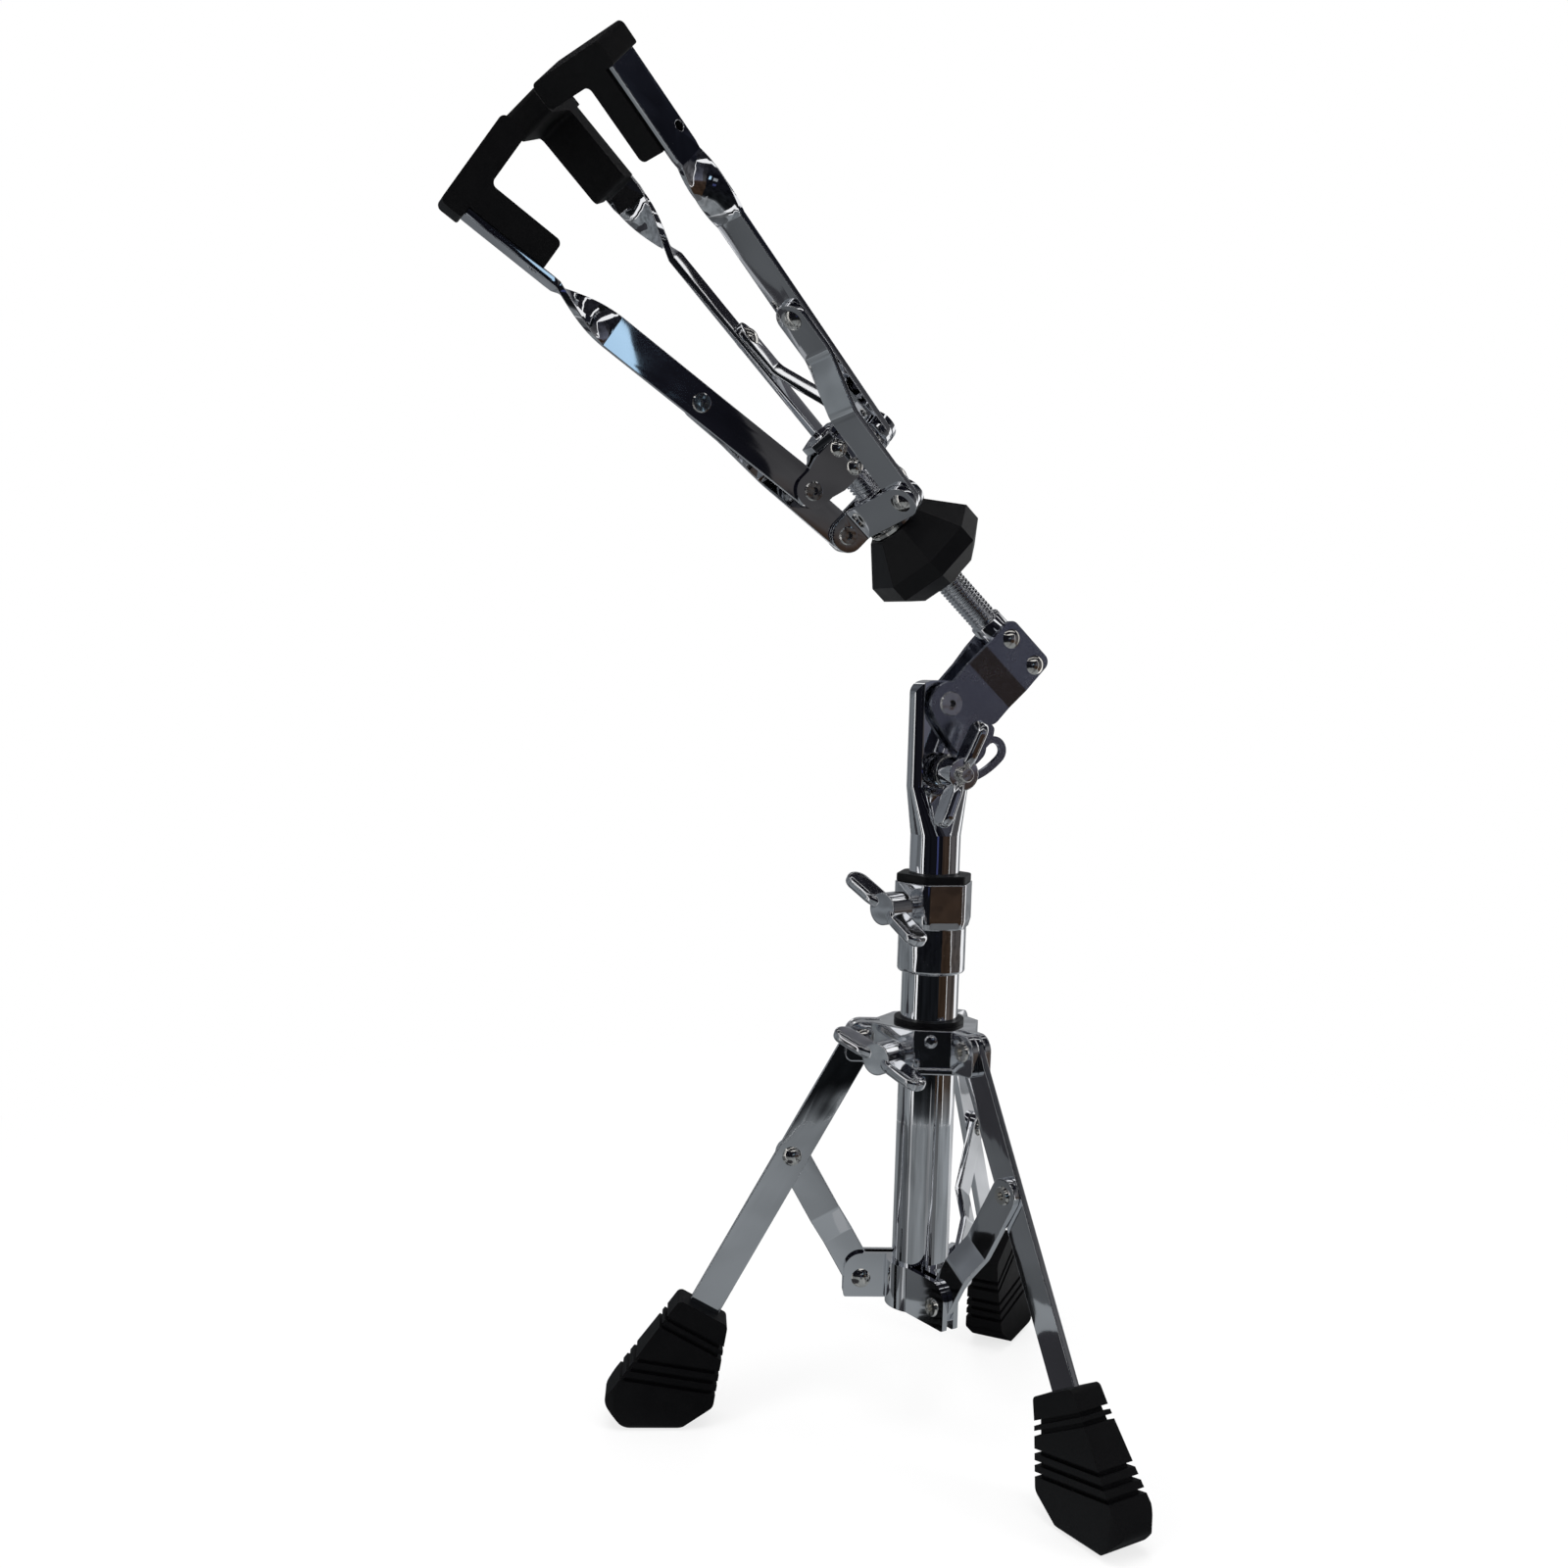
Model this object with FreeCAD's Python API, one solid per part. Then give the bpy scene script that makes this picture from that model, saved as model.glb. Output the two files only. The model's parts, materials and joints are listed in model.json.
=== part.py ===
import FreeCAD, Part
import math
import os

# Snare drum stand: a folding tripod, a telescopic column, a slotted tilter and a
# three-armed basket that a knob opens and closes. Millimetres, +Z up, the origin on
# the floor under the column. The head leans towards -X about an axis along Y.

V = FreeCAD.Vector

# Column tubes
LOWER_OD = 25.4
LOWER_WALL = 1.2
LOWER_SHOWS = 0.5
UPPER_OD = 22.2
UPPER_WALL = 1.5
UPPER_STANDS = 32.0
SLIDE_FIT = 0.06
PRESS_GAP = 0.02
OVERCUT = 1.0
TINY = 1e-6

# Tripod linkage, measured in one leg's radial plane
LEG_AZIMUTHS = [161.2, 281.2, 41.2]
HUB_PIN_R = 29.8
HUB_PIN_Z = 176.4
LEG_ANGLE = 28.3
LEG_TO_RIVET = 62.0
BRACE_LENGTH = 66.7
COLLAR_PIN_R = 25.8
COLLAR_PIN_T = -9.0
LEG_WIDTH = 14.4
LEG_THICK = 3.0
LEG_END = 176.0
BRACE_THICK = 3.0
SIDE_GAP = 0.2
PIN_FIT = 0.05
BRACE_EYE_PLAY = 2.0
BRACE_EYE_ALONG = 0.44
BRACE_EYE_ACROSS = -0.3
BRACE_JOG_START = 22.0
BRACE_JOG_END = 35.0

# Collar plates
SHEET = 2.5
COLLAR_HEIGHT = 20.0
COLLAR_PIN_H = 8.5716
COLLAR_EAR_END = 33.5
COLLAR_CORNER = 8.0
COLLAR_FOOT_CORNER = 1.0

# Hub casting
HUB_HEIGHT = 19.0
HUB_PIN_H = 11.6
HUB_PANEL = 21.5
HUB_PANEL_CORNER = 1.5
HUB_PANEL_ANGLES = [-13.0, 26.0]
HUB_EAR = 3.4
HUB_EAR_END = 37.2
HUB_EAR_LIFT = 1.2
HUB_EAR_CORNER = 7.0
HUB_EAR_FOOT_CORNER = 3.0
HUB_SLOT_R = 21.8
HUB_RIM = 1.2
HUB_RIM_CORNER = 2.0
HUB_BUSH_WALL = 1.8
HUB_BUSH_FLANGE = 1.9
HUB_BUSH_RIM = 1.0
HUB_BOLT_H = 8.0

# Rivets
PIN_R = 2.6
HUB_PIN_SHANK = 3.0
DOME_R = 4.35
DOME_H = 2.0
LOW_DOME_H = 1.4
PIVOT_DOME_R = 5.4
TAIL_RIM = 1.4
TAIL_H = 1.0
TAIL_HOLE = 1.7
TAIL_DEPTH = 2.4

# Rubber boots
CAP_DROP = 141.0
CAP_RADIAL = 24.5
CAP_WIDTH = 15.6
CAP_HEIGHT = 9.0
TOE_R = 141.0
SOLE_IN = 107.0
TOE_OVERHANG = 11.0
HEEL_R = 91.5
HEEL_Z = 10.0
TOE_WIDTH = 22.6
GROOVE = 1.9
GROOVE_DEPTH = 2.0
CAP_CORNER = 2.5
TOE_TOP = 12.0
TOE_ROUND = 5.0
SOLE_ROUND = 11.0
HEEL_ROUND = 4.0
EDGE_ROUND = 4.0
PLAN_ROUND = 9.0
RIB_HEEL = 22.0
RIB_TOE = 34.0
RIB_STEP = 4.6
RIB_COUNT = 3
BOOT_FIT = 0.05

# Height clamp
CLAMP_BOTTOM = 206.3
CLAMP_SLEEVE_H = 24.0
CLAMP_BLOCK_H = 16.2
CLAMP_SEAT = 2.1
CLAMP_SLEEVE_R = 15.0
CLAMP_SLEEVE_ROUND = 1.6
CLAMP_APOTHEM = 15.9
CLAMP_CORNER = 4.0
CLAMP_BUSH_R = 13.2
CLAMP_FLANGE = 3.6
CLAMP_FLANGE_R = 15.4
CLAMP_BOLT_H = 6.3
CLAMP_LEDGE = 3.5
CLAMP_AZIMUTH = 202.0
GUIDE_H = 12.0
CROSS_PLAY = 0.3

# Wing bolts and the wing nut
BOLT_R = 3.9
BOLT_TIP_GAP = 0.2
BARREL_R = 7.0
BARREL_LENGTH = 12.0
WING_STAND = 5.5
WING_SPAN = 24.6
WING_THICK = 5.0
WING_LOBE = 5.8
WING_FLARE = 10.0
WING_ROOT = 2.0
WING_WAIST = 1.5
WING_SWEEP = 9.0
WING_TIP = 5.5
WING_EDGE = 1.8
HEIGHT_WING_ANGLE = -30.0
HUB_WING_ANGLE = -20.0
TILT_WING_ANGLE = 68.0

# Tilter: heights on the column, then places in the head's own frame, whose origin is
# the pivot, Z the rod's direction and X the side that the rod stands off to
SWAGE_RISE = 17.3
SWAGE_LENGTH = 21.0
TONGUE_UNDER_BOLT = 7.1
TONGUE_OVER_PIVOT = 9.9
LEAN = 47.7
TONGUE_WIDTH = 29.0
TONGUE_THICK = 10.0
TONGUE_CORNER = 9.0
TONGUE_ROUND = 4.8
SWAGE_ROUND = 11.0
TILT_ARC = 29.6
TILT_ANGLE = 47.0
TILT_BOLT_R = 3.0
SLOT_PLAY = 0.4
PLATE_GAP = 0.2
PLATE_THICK = 2.5
PLATE_OUT = 47.6
PLATE_LOW = -23.2
PLATE_HIGH = 4.8
PLATE_NEAR = -9.5
JOG_NEAR = 19.4
JOG_FAR = 30.0
PLATE_CORNER = 4.0
PLATE_NEAR_CORNER = 6.0
PLATE_BACK_CORNER = 5.0
PIVOT_DISC = 9.5
PIVOT_SHANK = 4.0
SLOT_RIM = 3.0
WEB_TOP = 2.0
WEB_CORNER = 2.0
WEB_WAIST = 7.1
WEB_FOOT = -2.9
WEB_OUT = -12.4
WEB_OUT_LOW = -25.2
WEB_SHOULDER = -12.8
WEB_SHOULDER_Z = -14.8
ROD_OFFSET = 40.9
ROD_FOOT_R = 7.3
ROD_FOOT_TOP = 10.0
ROD_BOTTOM = -22.6
ROD_R = 6.35
ROD_TOP = 121.4
ROD_RIVETS = [-1.8, -18.4]
WASHER_R = 8.0
WASHER_H = 1.5
HEX_FLATS = 10.0
HEX_H = 4.5
TILT_BOLT_END = -27.5

# Basket: places along the rod (S) and out from it (R)
ARM_ANGLES = [-67.4, 52.6, 172.6]
UPPER_S = 107.9
UPPER_R = 20.1
RUNNER_S = 80.7
RUNNER_R = 19.3
ARM_ANGLE = 9.0
ARM_TO_RIVET = 59.0
ARM_WIDTH = 14.0
ARM_THICK = 3.0
LINK_THICK = 2.5
ARM_T = 5.8
RUNNER_FLAT = 8.95
EAR_HIGH = 15.0
EAR_ROUND = 7.0
EAR_NECK_IN = 0.5
EAR_NECK_OUT = 0.8
BEND_R = 2.6
LINK_EYE_PLAY = 1.9
LINK_EYE_ALONG = 1.5
LINK_EYE_ACROSS = -0.37
LINK_JOG_START = 18.0
LINK_JOG_END = 42.0
UPPER_RIVET_STEP = 10.4
UPPER_RIVET_R = 2.0
SMALL_DOME_R = 3.7
SMALL_DOME_H = 1.9
PLATE_HIGH_UPPER = 18.5
ROD_NUT_FLATS = 17.0
ROD_NUT_H = 3.6
BLOCK_ROUND = 6.5
STUD_END = 3.5

# Arms: distances from the upper pin along the strip
TWIST_LENGTH = 28.0
TWIST_STEPS = 6
TIP_LENGTH = 183.0
TIP_PLATE = 48.0
TIP_SHOULDER = 3.0
TIP_WIDTH = 15.0
TIP_LIP = 34.0
TIP_BEND = 4.0
TIP_HOLE_R = 2.0
TIP_HOLE_DOWN = 40.0
TIP_HOLE_T = 4.3
LIP_WIDTH = 13.0
GRIP_LENGTH = 43.0
GRIP_HOOK = 41.0
GRIP_THICK = 11.5
GRIP_PAD = 12.0
GRIP_WIDTH = 17.0
GRIP_COVER = 2.0
GRIP_COLLAR = 8.0
GRIP_ROUND = 2.5
GRIP_NECK_ROUND = 1.0
GRIP_FIT = 0.05

# Knob
KNOB_APOTHEM = 25.0
KNOB_SIDES = 8
KNOB_LOW = 39.0
KNOB_HIGH = 70.5
KNOB_SHOULDER = 55.0
KNOB_TOP_APOTHEM = 13.5
KNOB_FOOT = 8.0
KNOB_FOOT_APOTHEM = 17.0
INSERT_R = 10.0
THREAD_FIT = 0.08
KNOB_WASHER_R = 12.5
KNOB_WASHER_H = 1.5

# Worked out from the sizes above
HUB_BOTTOM = HUB_PIN_Z - HUB_PIN_H
HUB_TOP = HUB_BOTTOM + HUB_HEIGHT
HUB_EAR_FOOT = HUB_BOTTOM + HUB_EAR_LIFT
HUB_BOLT_Z = HUB_BOTTOM + HUB_BOLT_H
CLAMP_BLOCK = CLAMP_BOTTOM + CLAMP_SLEEVE_H
CLAMP_TOP = CLAMP_BLOCK + CLAMP_BLOCK_H
CLAMP_BOLT_Z = CLAMP_BLOCK + CLAMP_BOLT_H
LOWER_TOP = CLAMP_BLOCK - CLAMP_SEAT
SWAGE_FOOT = CLAMP_TOP + CLAMP_FLANGE + SWAGE_RISE
TONGUE_FOOT = SWAGE_FOOT + SWAGE_LENGTH
PIVOT_Z = TONGUE_FOOT + TONGUE_UNDER_BOLT + TILT_ARC
TONGUE_TOP = PIVOT_Z + TONGUE_OVER_PIVOT
LOWER_R = LOWER_OD / 2
UPPER_TUBE_R = UPPER_OD / 2
LOWER_BORE = LOWER_R - LOWER_WALL
leg_sin = math.sin(math.radians(LEG_ANGLE))
leg_cos = math.cos(math.radians(LEG_ANGLE))
RIVET_R = HUB_PIN_R + LEG_TO_RIVET * leg_sin
RIVET_Z = HUB_PIN_Z - LEG_TO_RIVET * leg_cos
BRACE_ANGLE = math.degrees(math.asin((RIVET_R - COLLAR_PIN_R) / BRACE_LENGTH))
COLLAR_PIN_Z = RIVET_Z - BRACE_LENGTH * math.cos(math.radians(BRACE_ANGLE))
COLLAR_BOTTOM = COLLAR_PIN_Z - COLLAR_PIN_H
COLLAR_TOP = COLLAR_BOTTOM + COLLAR_HEIGHT
LOWER_BOTTOM = COLLAR_BOTTOM - LOWER_SHOWS
UPPER_BOTTOM = LOWER_BOTTOM + UPPER_STANDS
SOLE_OUT = TOE_R - TOE_OVERHANG
BRACE_T = -(LEG_THICK + BRACE_THICK) / 2 - SIDE_GAP
arm_sin = math.sin(math.radians(ARM_ANGLE))
arm_cos = math.cos(math.radians(ARM_ANGLE))
ARM_RIVET_R = UPPER_R + ARM_TO_RIVET * arm_sin
ARM_RIVET_S = UPPER_S + ARM_TO_RIVET * arm_cos
TIP_START = TIP_LENGTH - TIP_PLATE
TWIST_END = TIP_START - TIP_SHOULDER
TWIST_START = TWIST_END - TWIST_LENGTH
TIP_HOLE_Z = TIP_LENGTH - TIP_HOLE_DOWN
LINK_LENGTH = math.hypot(ARM_RIVET_R - RUNNER_R, ARM_RIVET_S - RUNNER_S)
LINK_ANGLE = math.degrees(math.asin((ARM_RIVET_R - RUNNER_R) / LINK_LENGTH))
EAR_PITCH = ARM_THICK + 2 * SIDE_GAP + SHEET
LINK_T_HIGH = ARM_T - (ARM_THICK + LINK_THICK) / 2 - SIDE_GAP
RUNNER_PITCH = LINK_THICK + 2 * SIDE_GAP + SHEET
UPPER_FLAT = ARM_T + EAR_PITCH / 2
LINK_T_LOW = RUNNER_PITCH / 2 - RUNNER_FLAT
HUB_BOLT_AZIMUTH = LEG_AZIMUTHS[0] + 60 + HUB_PANEL_ANGLES[0]


def place(shape, origin, turn_axis, degrees):
    """A copy turned about an axis through the frame's own origin, then moved to origin."""
    moved = shape.copy()
    placing = FreeCAD.Placement(origin, FreeCAD.Rotation(turn_axis, degrees))
    moved.Placement = placing.multiply(moved.Placement)
    return moved


def at_leg(shape, k):
    """From a leg's frame (X outward, Y anticlockwise, Z up) to its place round the column."""
    return place(shape, V(0, 0, 0), V(0, 0, 1), LEG_AZIMUTHS[k])


def in_head(shape):
    """From the head's upright frame at the pivot to the leaning head."""
    return place(shape, V(0, 0, PIVOT_Z), V(0, 1, 0), -LEAN)


def on_rod(shape, turn=0):
    """From a frame on the rod's axis, turned about it, to its place in the leaning head."""
    return in_head(place(shape, V(ROD_OFFSET, 0, 0), V(0, 0, 1), turn))


def at_arm(shape, k):
    """From an arm's frame on the rod's axis to its place in the leaning head."""
    return on_rod(shape, ARM_ANGLES[k])


def outline(points):
    """A closed wire in XY through (x, y, corner radius)."""
    count = len(points)
    edges = []
    last = None
    first = None
    for i in range(count):
        x, y, r = points[i]
        here = V(x, y, 0)
        before = V(points[i - 1][0], points[i - 1][1], 0) - here
        after = V(points[(i + 1) % count][0], points[(i + 1) % count][1], 0) - here
        before.normalize()
        after.normalize()
        if r > 0:
            half = before.getAngle(after) / 2
            run = r / math.tan(half)
            start = here + before * run
            end = here + after * run
            middle = before + after
            middle.normalize()
            crown = here + middle * (r / math.sin(half) - r)
        else:
            start = here
            end = here
        if last is not None and (start - last).Length > TINY:
            edges.append(Part.makeLine(last, start))
        if first is None:
            first = start
        if r > 0:
            edges.append(Part.Arc(start, crown, end).toShape())
        last = end
    if (first - last).Length > TINY:
        edges.append(Part.makeLine(last, first))
    return Part.Wire(edges)


def slab(points, low, high):
    """The outline's face raised along Z from low to high."""
    face = Part.Face(outline(points))
    face.translate(V(0, 0, low))
    return face.extrude(V(0, 0, high - low))


def upright(points, low, high):
    """An outline drawn in X and Z, thickened along Y from low to high."""
    solid = slab(points, -high, -low)
    return place(solid, V(0, 0, 0), V(1, 0, 0), 90)


def ribbon(points, thick):
    """The closed outline of a bent strip drawn by its centre line (x, y, bend radius)."""
    left = []
    right = []
    count = len(points)
    for i in range(count):
        x, y, r = points[i]
        here = V(x, y, 0)
        back = here - V(points[i - 1][0], points[i - 1][1], 0) if i > 0 else None
        ahead = V(points[i + 1][0], points[i + 1][1], 0) - here if i < count - 1 else None
        back = ahead if back is None else back
        ahead = back if ahead is None else ahead
        n1 = V(-back.y, back.x, 0)
        n2 = V(-ahead.y, ahead.x, 0)
        n1.normalize()
        n2.normalize()
        mitre = (n1 + n2) * (thick / 2 / (1 + n1.dot(n2)))
        turn = back.x * ahead.y - back.y * ahead.x
        side = 0.0 if r == 0 else math.copysign(thick / 2, turn)
        left.append((x + mitre.x, y + mitre.y, max(r - side, 0.0)))
        right.append((x - mitre.x, y - mitre.y, max(r + side, 0.0)))
    return left + right[::-1]


def rod(radius, start, end):
    """A round bar between two points."""
    along = end - start
    return Part.makeCylinder(radius, along.Length, start, along)


def ring(outer, inner, low, high):
    """A tube about Z."""
    height = high - low
    body = Part.makeCylinder(outer, height, V(0, 0, low))
    return body.cut(Part.makeCylinder(inner, height, V(0, 0, low)))


def rivet(shank, head, tail, dome_r, dome_h):
    """A rivet along Y at the origin: a dome outside y = head and a hollow end outside y = tail."""
    out = 1 if head > tail else -1
    peak = head + out * dome_h
    rise = (dome_r ** 2 - dome_h ** 2) / (2 * dome_h)
    ball = rise + dome_h
    slant = math.atan2(dome_r, rise) / 2
    crown = V(ball * math.sin(slant), head + out * (ball * math.cos(slant) - rise), 0)
    end = tail - out * TAIL_H
    floor = end + out * TAIL_DEPTH
    dome = Part.Arc(V(0, peak, 0), crown, V(dome_r, head, 0)).toShape()
    flange = shank + TAIL_RIM
    corners = [V(dome_r, head, 0), V(shank, head, 0), V(shank, tail, 0), V(flange, tail, 0),
               V(flange - TAIL_H / 2, end, 0), V(TAIL_HOLE, end, 0), V(TAIL_HOLE, floor, 0),
               V(0, floor, 0), V(0, peak, 0)]
    edges = [dome]
    for a, b in zip(corners[:-1], corners[1:]):
        edges.append(Part.makeLine(a, b))
    return Part.Face(Part.Wire(edges)).revolve(V(0, 0, 0), V(0, 1, 0), 360)


def across(points, low, high):
    """An outline drawn in Y and Z, thickened along X from low to high."""
    return place(slab(points, low, high), V(0, 0, 0), V(1, 1, 1), 120)


def panels(normals, apothem, corner):
    """Corner points of a polygon whose flats face the given directions, in rising order."""
    points = []
    for i in range(len(normals)):
        here = normals[i]
        after = normals[i + 1] if i + 1 < len(normals) else normals[0] + 360
        reach = apothem / math.cos(math.radians(after - here) / 2)
        a = math.radians((here + after) / 2)
        points.append((reach * math.cos(a), reach * math.sin(a), corner))
    return points


def hexagon(flats, first, corner):
    """A regular hexagon by its width across flats, one flat facing the given direction."""
    return panels([first + 60 * i for i in range(6)], flats / 2, corner)


def write(node, *solids):
    """One file per node; a node of several solids is a group."""
    whole = solids[0] if len(solids) == 1 else Part.makeCompound(list(solids))
    whole.exportStep("parts/" + node + ".step")


os.makedirs("parts", exist_ok=True)


# Tripod

def leg_swing(shape):
    """Hang a shape drawn straight down from the hub pin at the leg's angle."""
    return place(shape, V(HUB_PIN_R, 0, HUB_PIN_Z), V(0, 1, 0), -LEG_ANGLE)


def leg_strip():
    """The flat leg: rounded at the hub pin, cut square inside the boot."""
    half = LEG_WIDTH / 2
    points = [(-half, -LEG_END, 0), (half, -LEG_END, 0), (half, half, half), (-half, half, half)]
    strip = upright(points, -LEG_THICK / 2, LEG_THICK / 2)
    strip = strip.cut(rod(HUB_PIN_SHANK + PIN_FIT, V(0, -LEG_THICK, 0), V(0, LEG_THICK, 0)))
    low = V(0, 0, -LEG_TO_RIVET)
    strip = strip.cut(rod(PIN_R + PRESS_GAP, low - V(0, LEG_THICK, 0), low + V(0, LEG_THICK, 0)))
    return leg_swing(strip)


def brace_strip():
    """The brace: beside the leg at the top, stepped sideways to the collar's ears below."""
    half = LEG_WIDTH / 2
    end = -BRACE_LENGTH - half
    centre = [(BRACE_T, half, 0), (BRACE_T, BRACE_JOG_END - BRACE_LENGTH, LEG_THICK),
              (COLLAR_PIN_T, BRACE_JOG_START - BRACE_LENGTH, LEG_THICK), (COLLAR_PIN_T, end, 0)]
    strip = across(ribbon(centre, BRACE_THICK), -half, half)
    face = [(-half, end, half), (half, end, half), (half, half, half), (-half, half, half)]
    strip = strip.common(upright(face, 2 * COLLAR_PIN_T, -COLLAR_PIN_T))
    reach = V(0, -2 * COLLAR_PIN_T, 0)
    strip = strip.cut(rod(PIN_R + PIN_FIT, -reach, reach))
    eye = V(-BRACE_EYE_ACROSS, 0, -BRACE_LENGTH - BRACE_EYE_ALONG)
    strip = strip.cut(rod(PIN_R + BRACE_EYE_PLAY, eye - reach, eye + reach))
    return place(strip, V(RIVET_R, 0, RIVET_Z), V(0, 1, 0), BRACE_ANGLE)


def leg_rivet():
    """The rivet through leg and brace, its dome on the leg's side."""
    body = rivet(PIN_R, LEG_THICK / 2, BRACE_T - BRACE_THICK / 2 - SIDE_GAP, DOME_R, DOME_H)
    body.translate(V(RIVET_R, 0, RIVET_Z))
    return body


def boot_body(inset):
    """The boot's block: its side outline, cut to width from cap to toe, rounded at sole and toe."""
    top = V(HUB_PIN_R + CAP_DROP * leg_sin, 0, HUB_PIN_Z - CAP_DROP * leg_cos)
    out = V(leg_cos, 0, leg_sin) * (CAP_RADIAL / 2 - inset)
    side = [((top - out).x, (top - out).z, CAP_CORNER), ((top + out).x, (top + out).z, CAP_CORNER),
            (TOE_R - inset, TOE_TOP, TOE_ROUND), (SOLE_OUT, 0, SOLE_ROUND), (SOLE_IN, 0, SOLE_ROUND),
            (HEEL_R + inset, HEEL_Z, HEEL_ROUND)]
    wide = TOE_WIDTH / 2 - inset
    narrow = CAP_WIDTH / 2 - inset
    low = -HUB_PIN_Z / leg_cos
    taper = [(-narrow, 0, 0), (-narrow, -CAP_DROP - CAP_HEIGHT, 0), (-wide, low, 0), (-wide, 2 * low, 0),
             (wide, 2 * low, 0), (wide, low, 0), (narrow, -CAP_DROP - CAP_HEIGHT, 0), (narrow, 0, 0)]
    edge = [(-wide, 0, EDGE_ROUND), (wide, 0, EDGE_ROUND), (wide, HUB_PIN_Z, 0), (-wide, HUB_PIN_Z, 0)]
    toe = TOE_R - inset
    plan_round = PLAN_ROUND - inset
    plan = [(0, -wide, 0), (toe, -wide, plan_round), (toe, wide, plan_round), (0, wide, 0)]
    body = upright(side, -wide, wide).common(leg_swing(across(taper, -TOE_R, TOE_R)))
    return body.common(across(edge, 0, TOE_R)).common(slab(plan, 0, HUB_PIN_Z))


def boot():
    """The rubber boot with its grooves and the pocket that the leg is pressed into."""
    body = boot_body(0)
    core = boot_body(GROOVE_DEPTH)
    for i in range(2):
        high = -CAP_DROP - CAP_HEIGHT - 2 * i * GROOVE
        band = [(-CAP_RADIAL, high, 0), (CAP_RADIAL, high, 0), (CAP_RADIAL, high - GROOVE, 0),
                (-CAP_RADIAL, high - GROOVE, 0)]
        body = body.cut(leg_swing(upright(band, -TOE_WIDTH, TOE_WIDTH)).cut(core))
    for i in range(RIB_COUNT):
        line = [(HEEL_R - RIB_HEEL, RIB_HEEL - i * RIB_STEP, 0), (TOE_R, RIB_TOE - i * RIB_STEP, 0)]
        body = body.cut(upright(ribbon(line, GROOVE), -TOE_WIDTH, TOE_WIDTH).cut(core))
    half = LEG_WIDTH / 2 + BOOT_FIT
    thick = LEG_THICK / 2 + BOOT_FIT
    pocket = [(-half, -LEG_END, 0), (half, -LEG_END, 0), (half, -LEG_TO_RIVET, 0),
              (-half, -LEG_TO_RIVET, 0)]
    return body.cut(leg_swing(upright(pocket, -thick, thick)))


def collar_plate():
    """One stamped collar plate: an ear beside one leg, a wrap round the tube, an ear beside the next."""
    inner = LOWER_R + PRESS_GAP
    far = COLLAR_PIN_T - BRACE_THICK / 2 - SIDE_GAP - SHEET / 2
    near = COLLAR_PIN_T + BRACE_THICK / 2 + SIDE_GAP + SHEET / 2
    middle = inner + SHEET / 2
    start = -120 + math.degrees(math.asin(near / middle))
    stop = math.degrees(math.asin(far / middle))
    height = COLLAR_TOP - COLLAR_BOTTOM
    wrap = Part.makeCylinder(inner + SHEET, height, V(0, 0, COLLAR_BOTTOM), V(0, 0, 1), stop - start)
    wrap = place(wrap, V(0, 0, 0), V(0, 0, 1), start)
    ears = []
    for t in (far, near):
        root = math.sqrt(middle ** 2 - t ** 2) - SHEET / 4
        face = [(root, COLLAR_BOTTOM, 0), (COLLAR_EAR_END, COLLAR_BOTTOM, COLLAR_FOOT_CORNER),
                (COLLAR_EAR_END, COLLAR_TOP, COLLAR_CORNER), (root, COLLAR_TOP, 0)]
        ears.append(upright(face, t - SHEET / 2, t + SHEET / 2))
    ears[1] = place(ears[1], V(0, 0, 0), V(0, 0, 1), -120)
    plate = wrap.fuse(ears)
    plate = plate.cut(Part.makeCylinder(inner, height, V(0, 0, COLLAR_BOTTOM)))
    middle = V(COLLAR_PIN_R, 0, COLLAR_PIN_Z)
    pin = rod(PIN_R + PRESS_GAP, middle + V(0, 2 * far, 0), middle)
    plate = plate.cut([pin, place(pin, V(0, 0, 0), V(0, 0, 1), -120)])
    return plate.removeSplitter()


def collar_rivet():
    """The collar's rivet, its dome towards the leg."""
    reach = BRACE_THICK / 2 + SIDE_GAP + SHEET
    body = rivet(PIN_R, COLLAR_PIN_T + reach, COLLAR_PIN_T - reach, DOME_R, LOW_DOME_H)
    body.translate(V(COLLAR_PIN_R, 0, COLLAR_PIN_Z))
    return body


def cross_hole(radius, height, azimuth):
    """A radial hole for a wing bolt."""
    hole = rod(radius, V(0, 0, 0), V(HUB_EAR_END, 0, 0))
    return place(hole, V(0, 0, height), V(0, 0, 1), azimuth)


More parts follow.
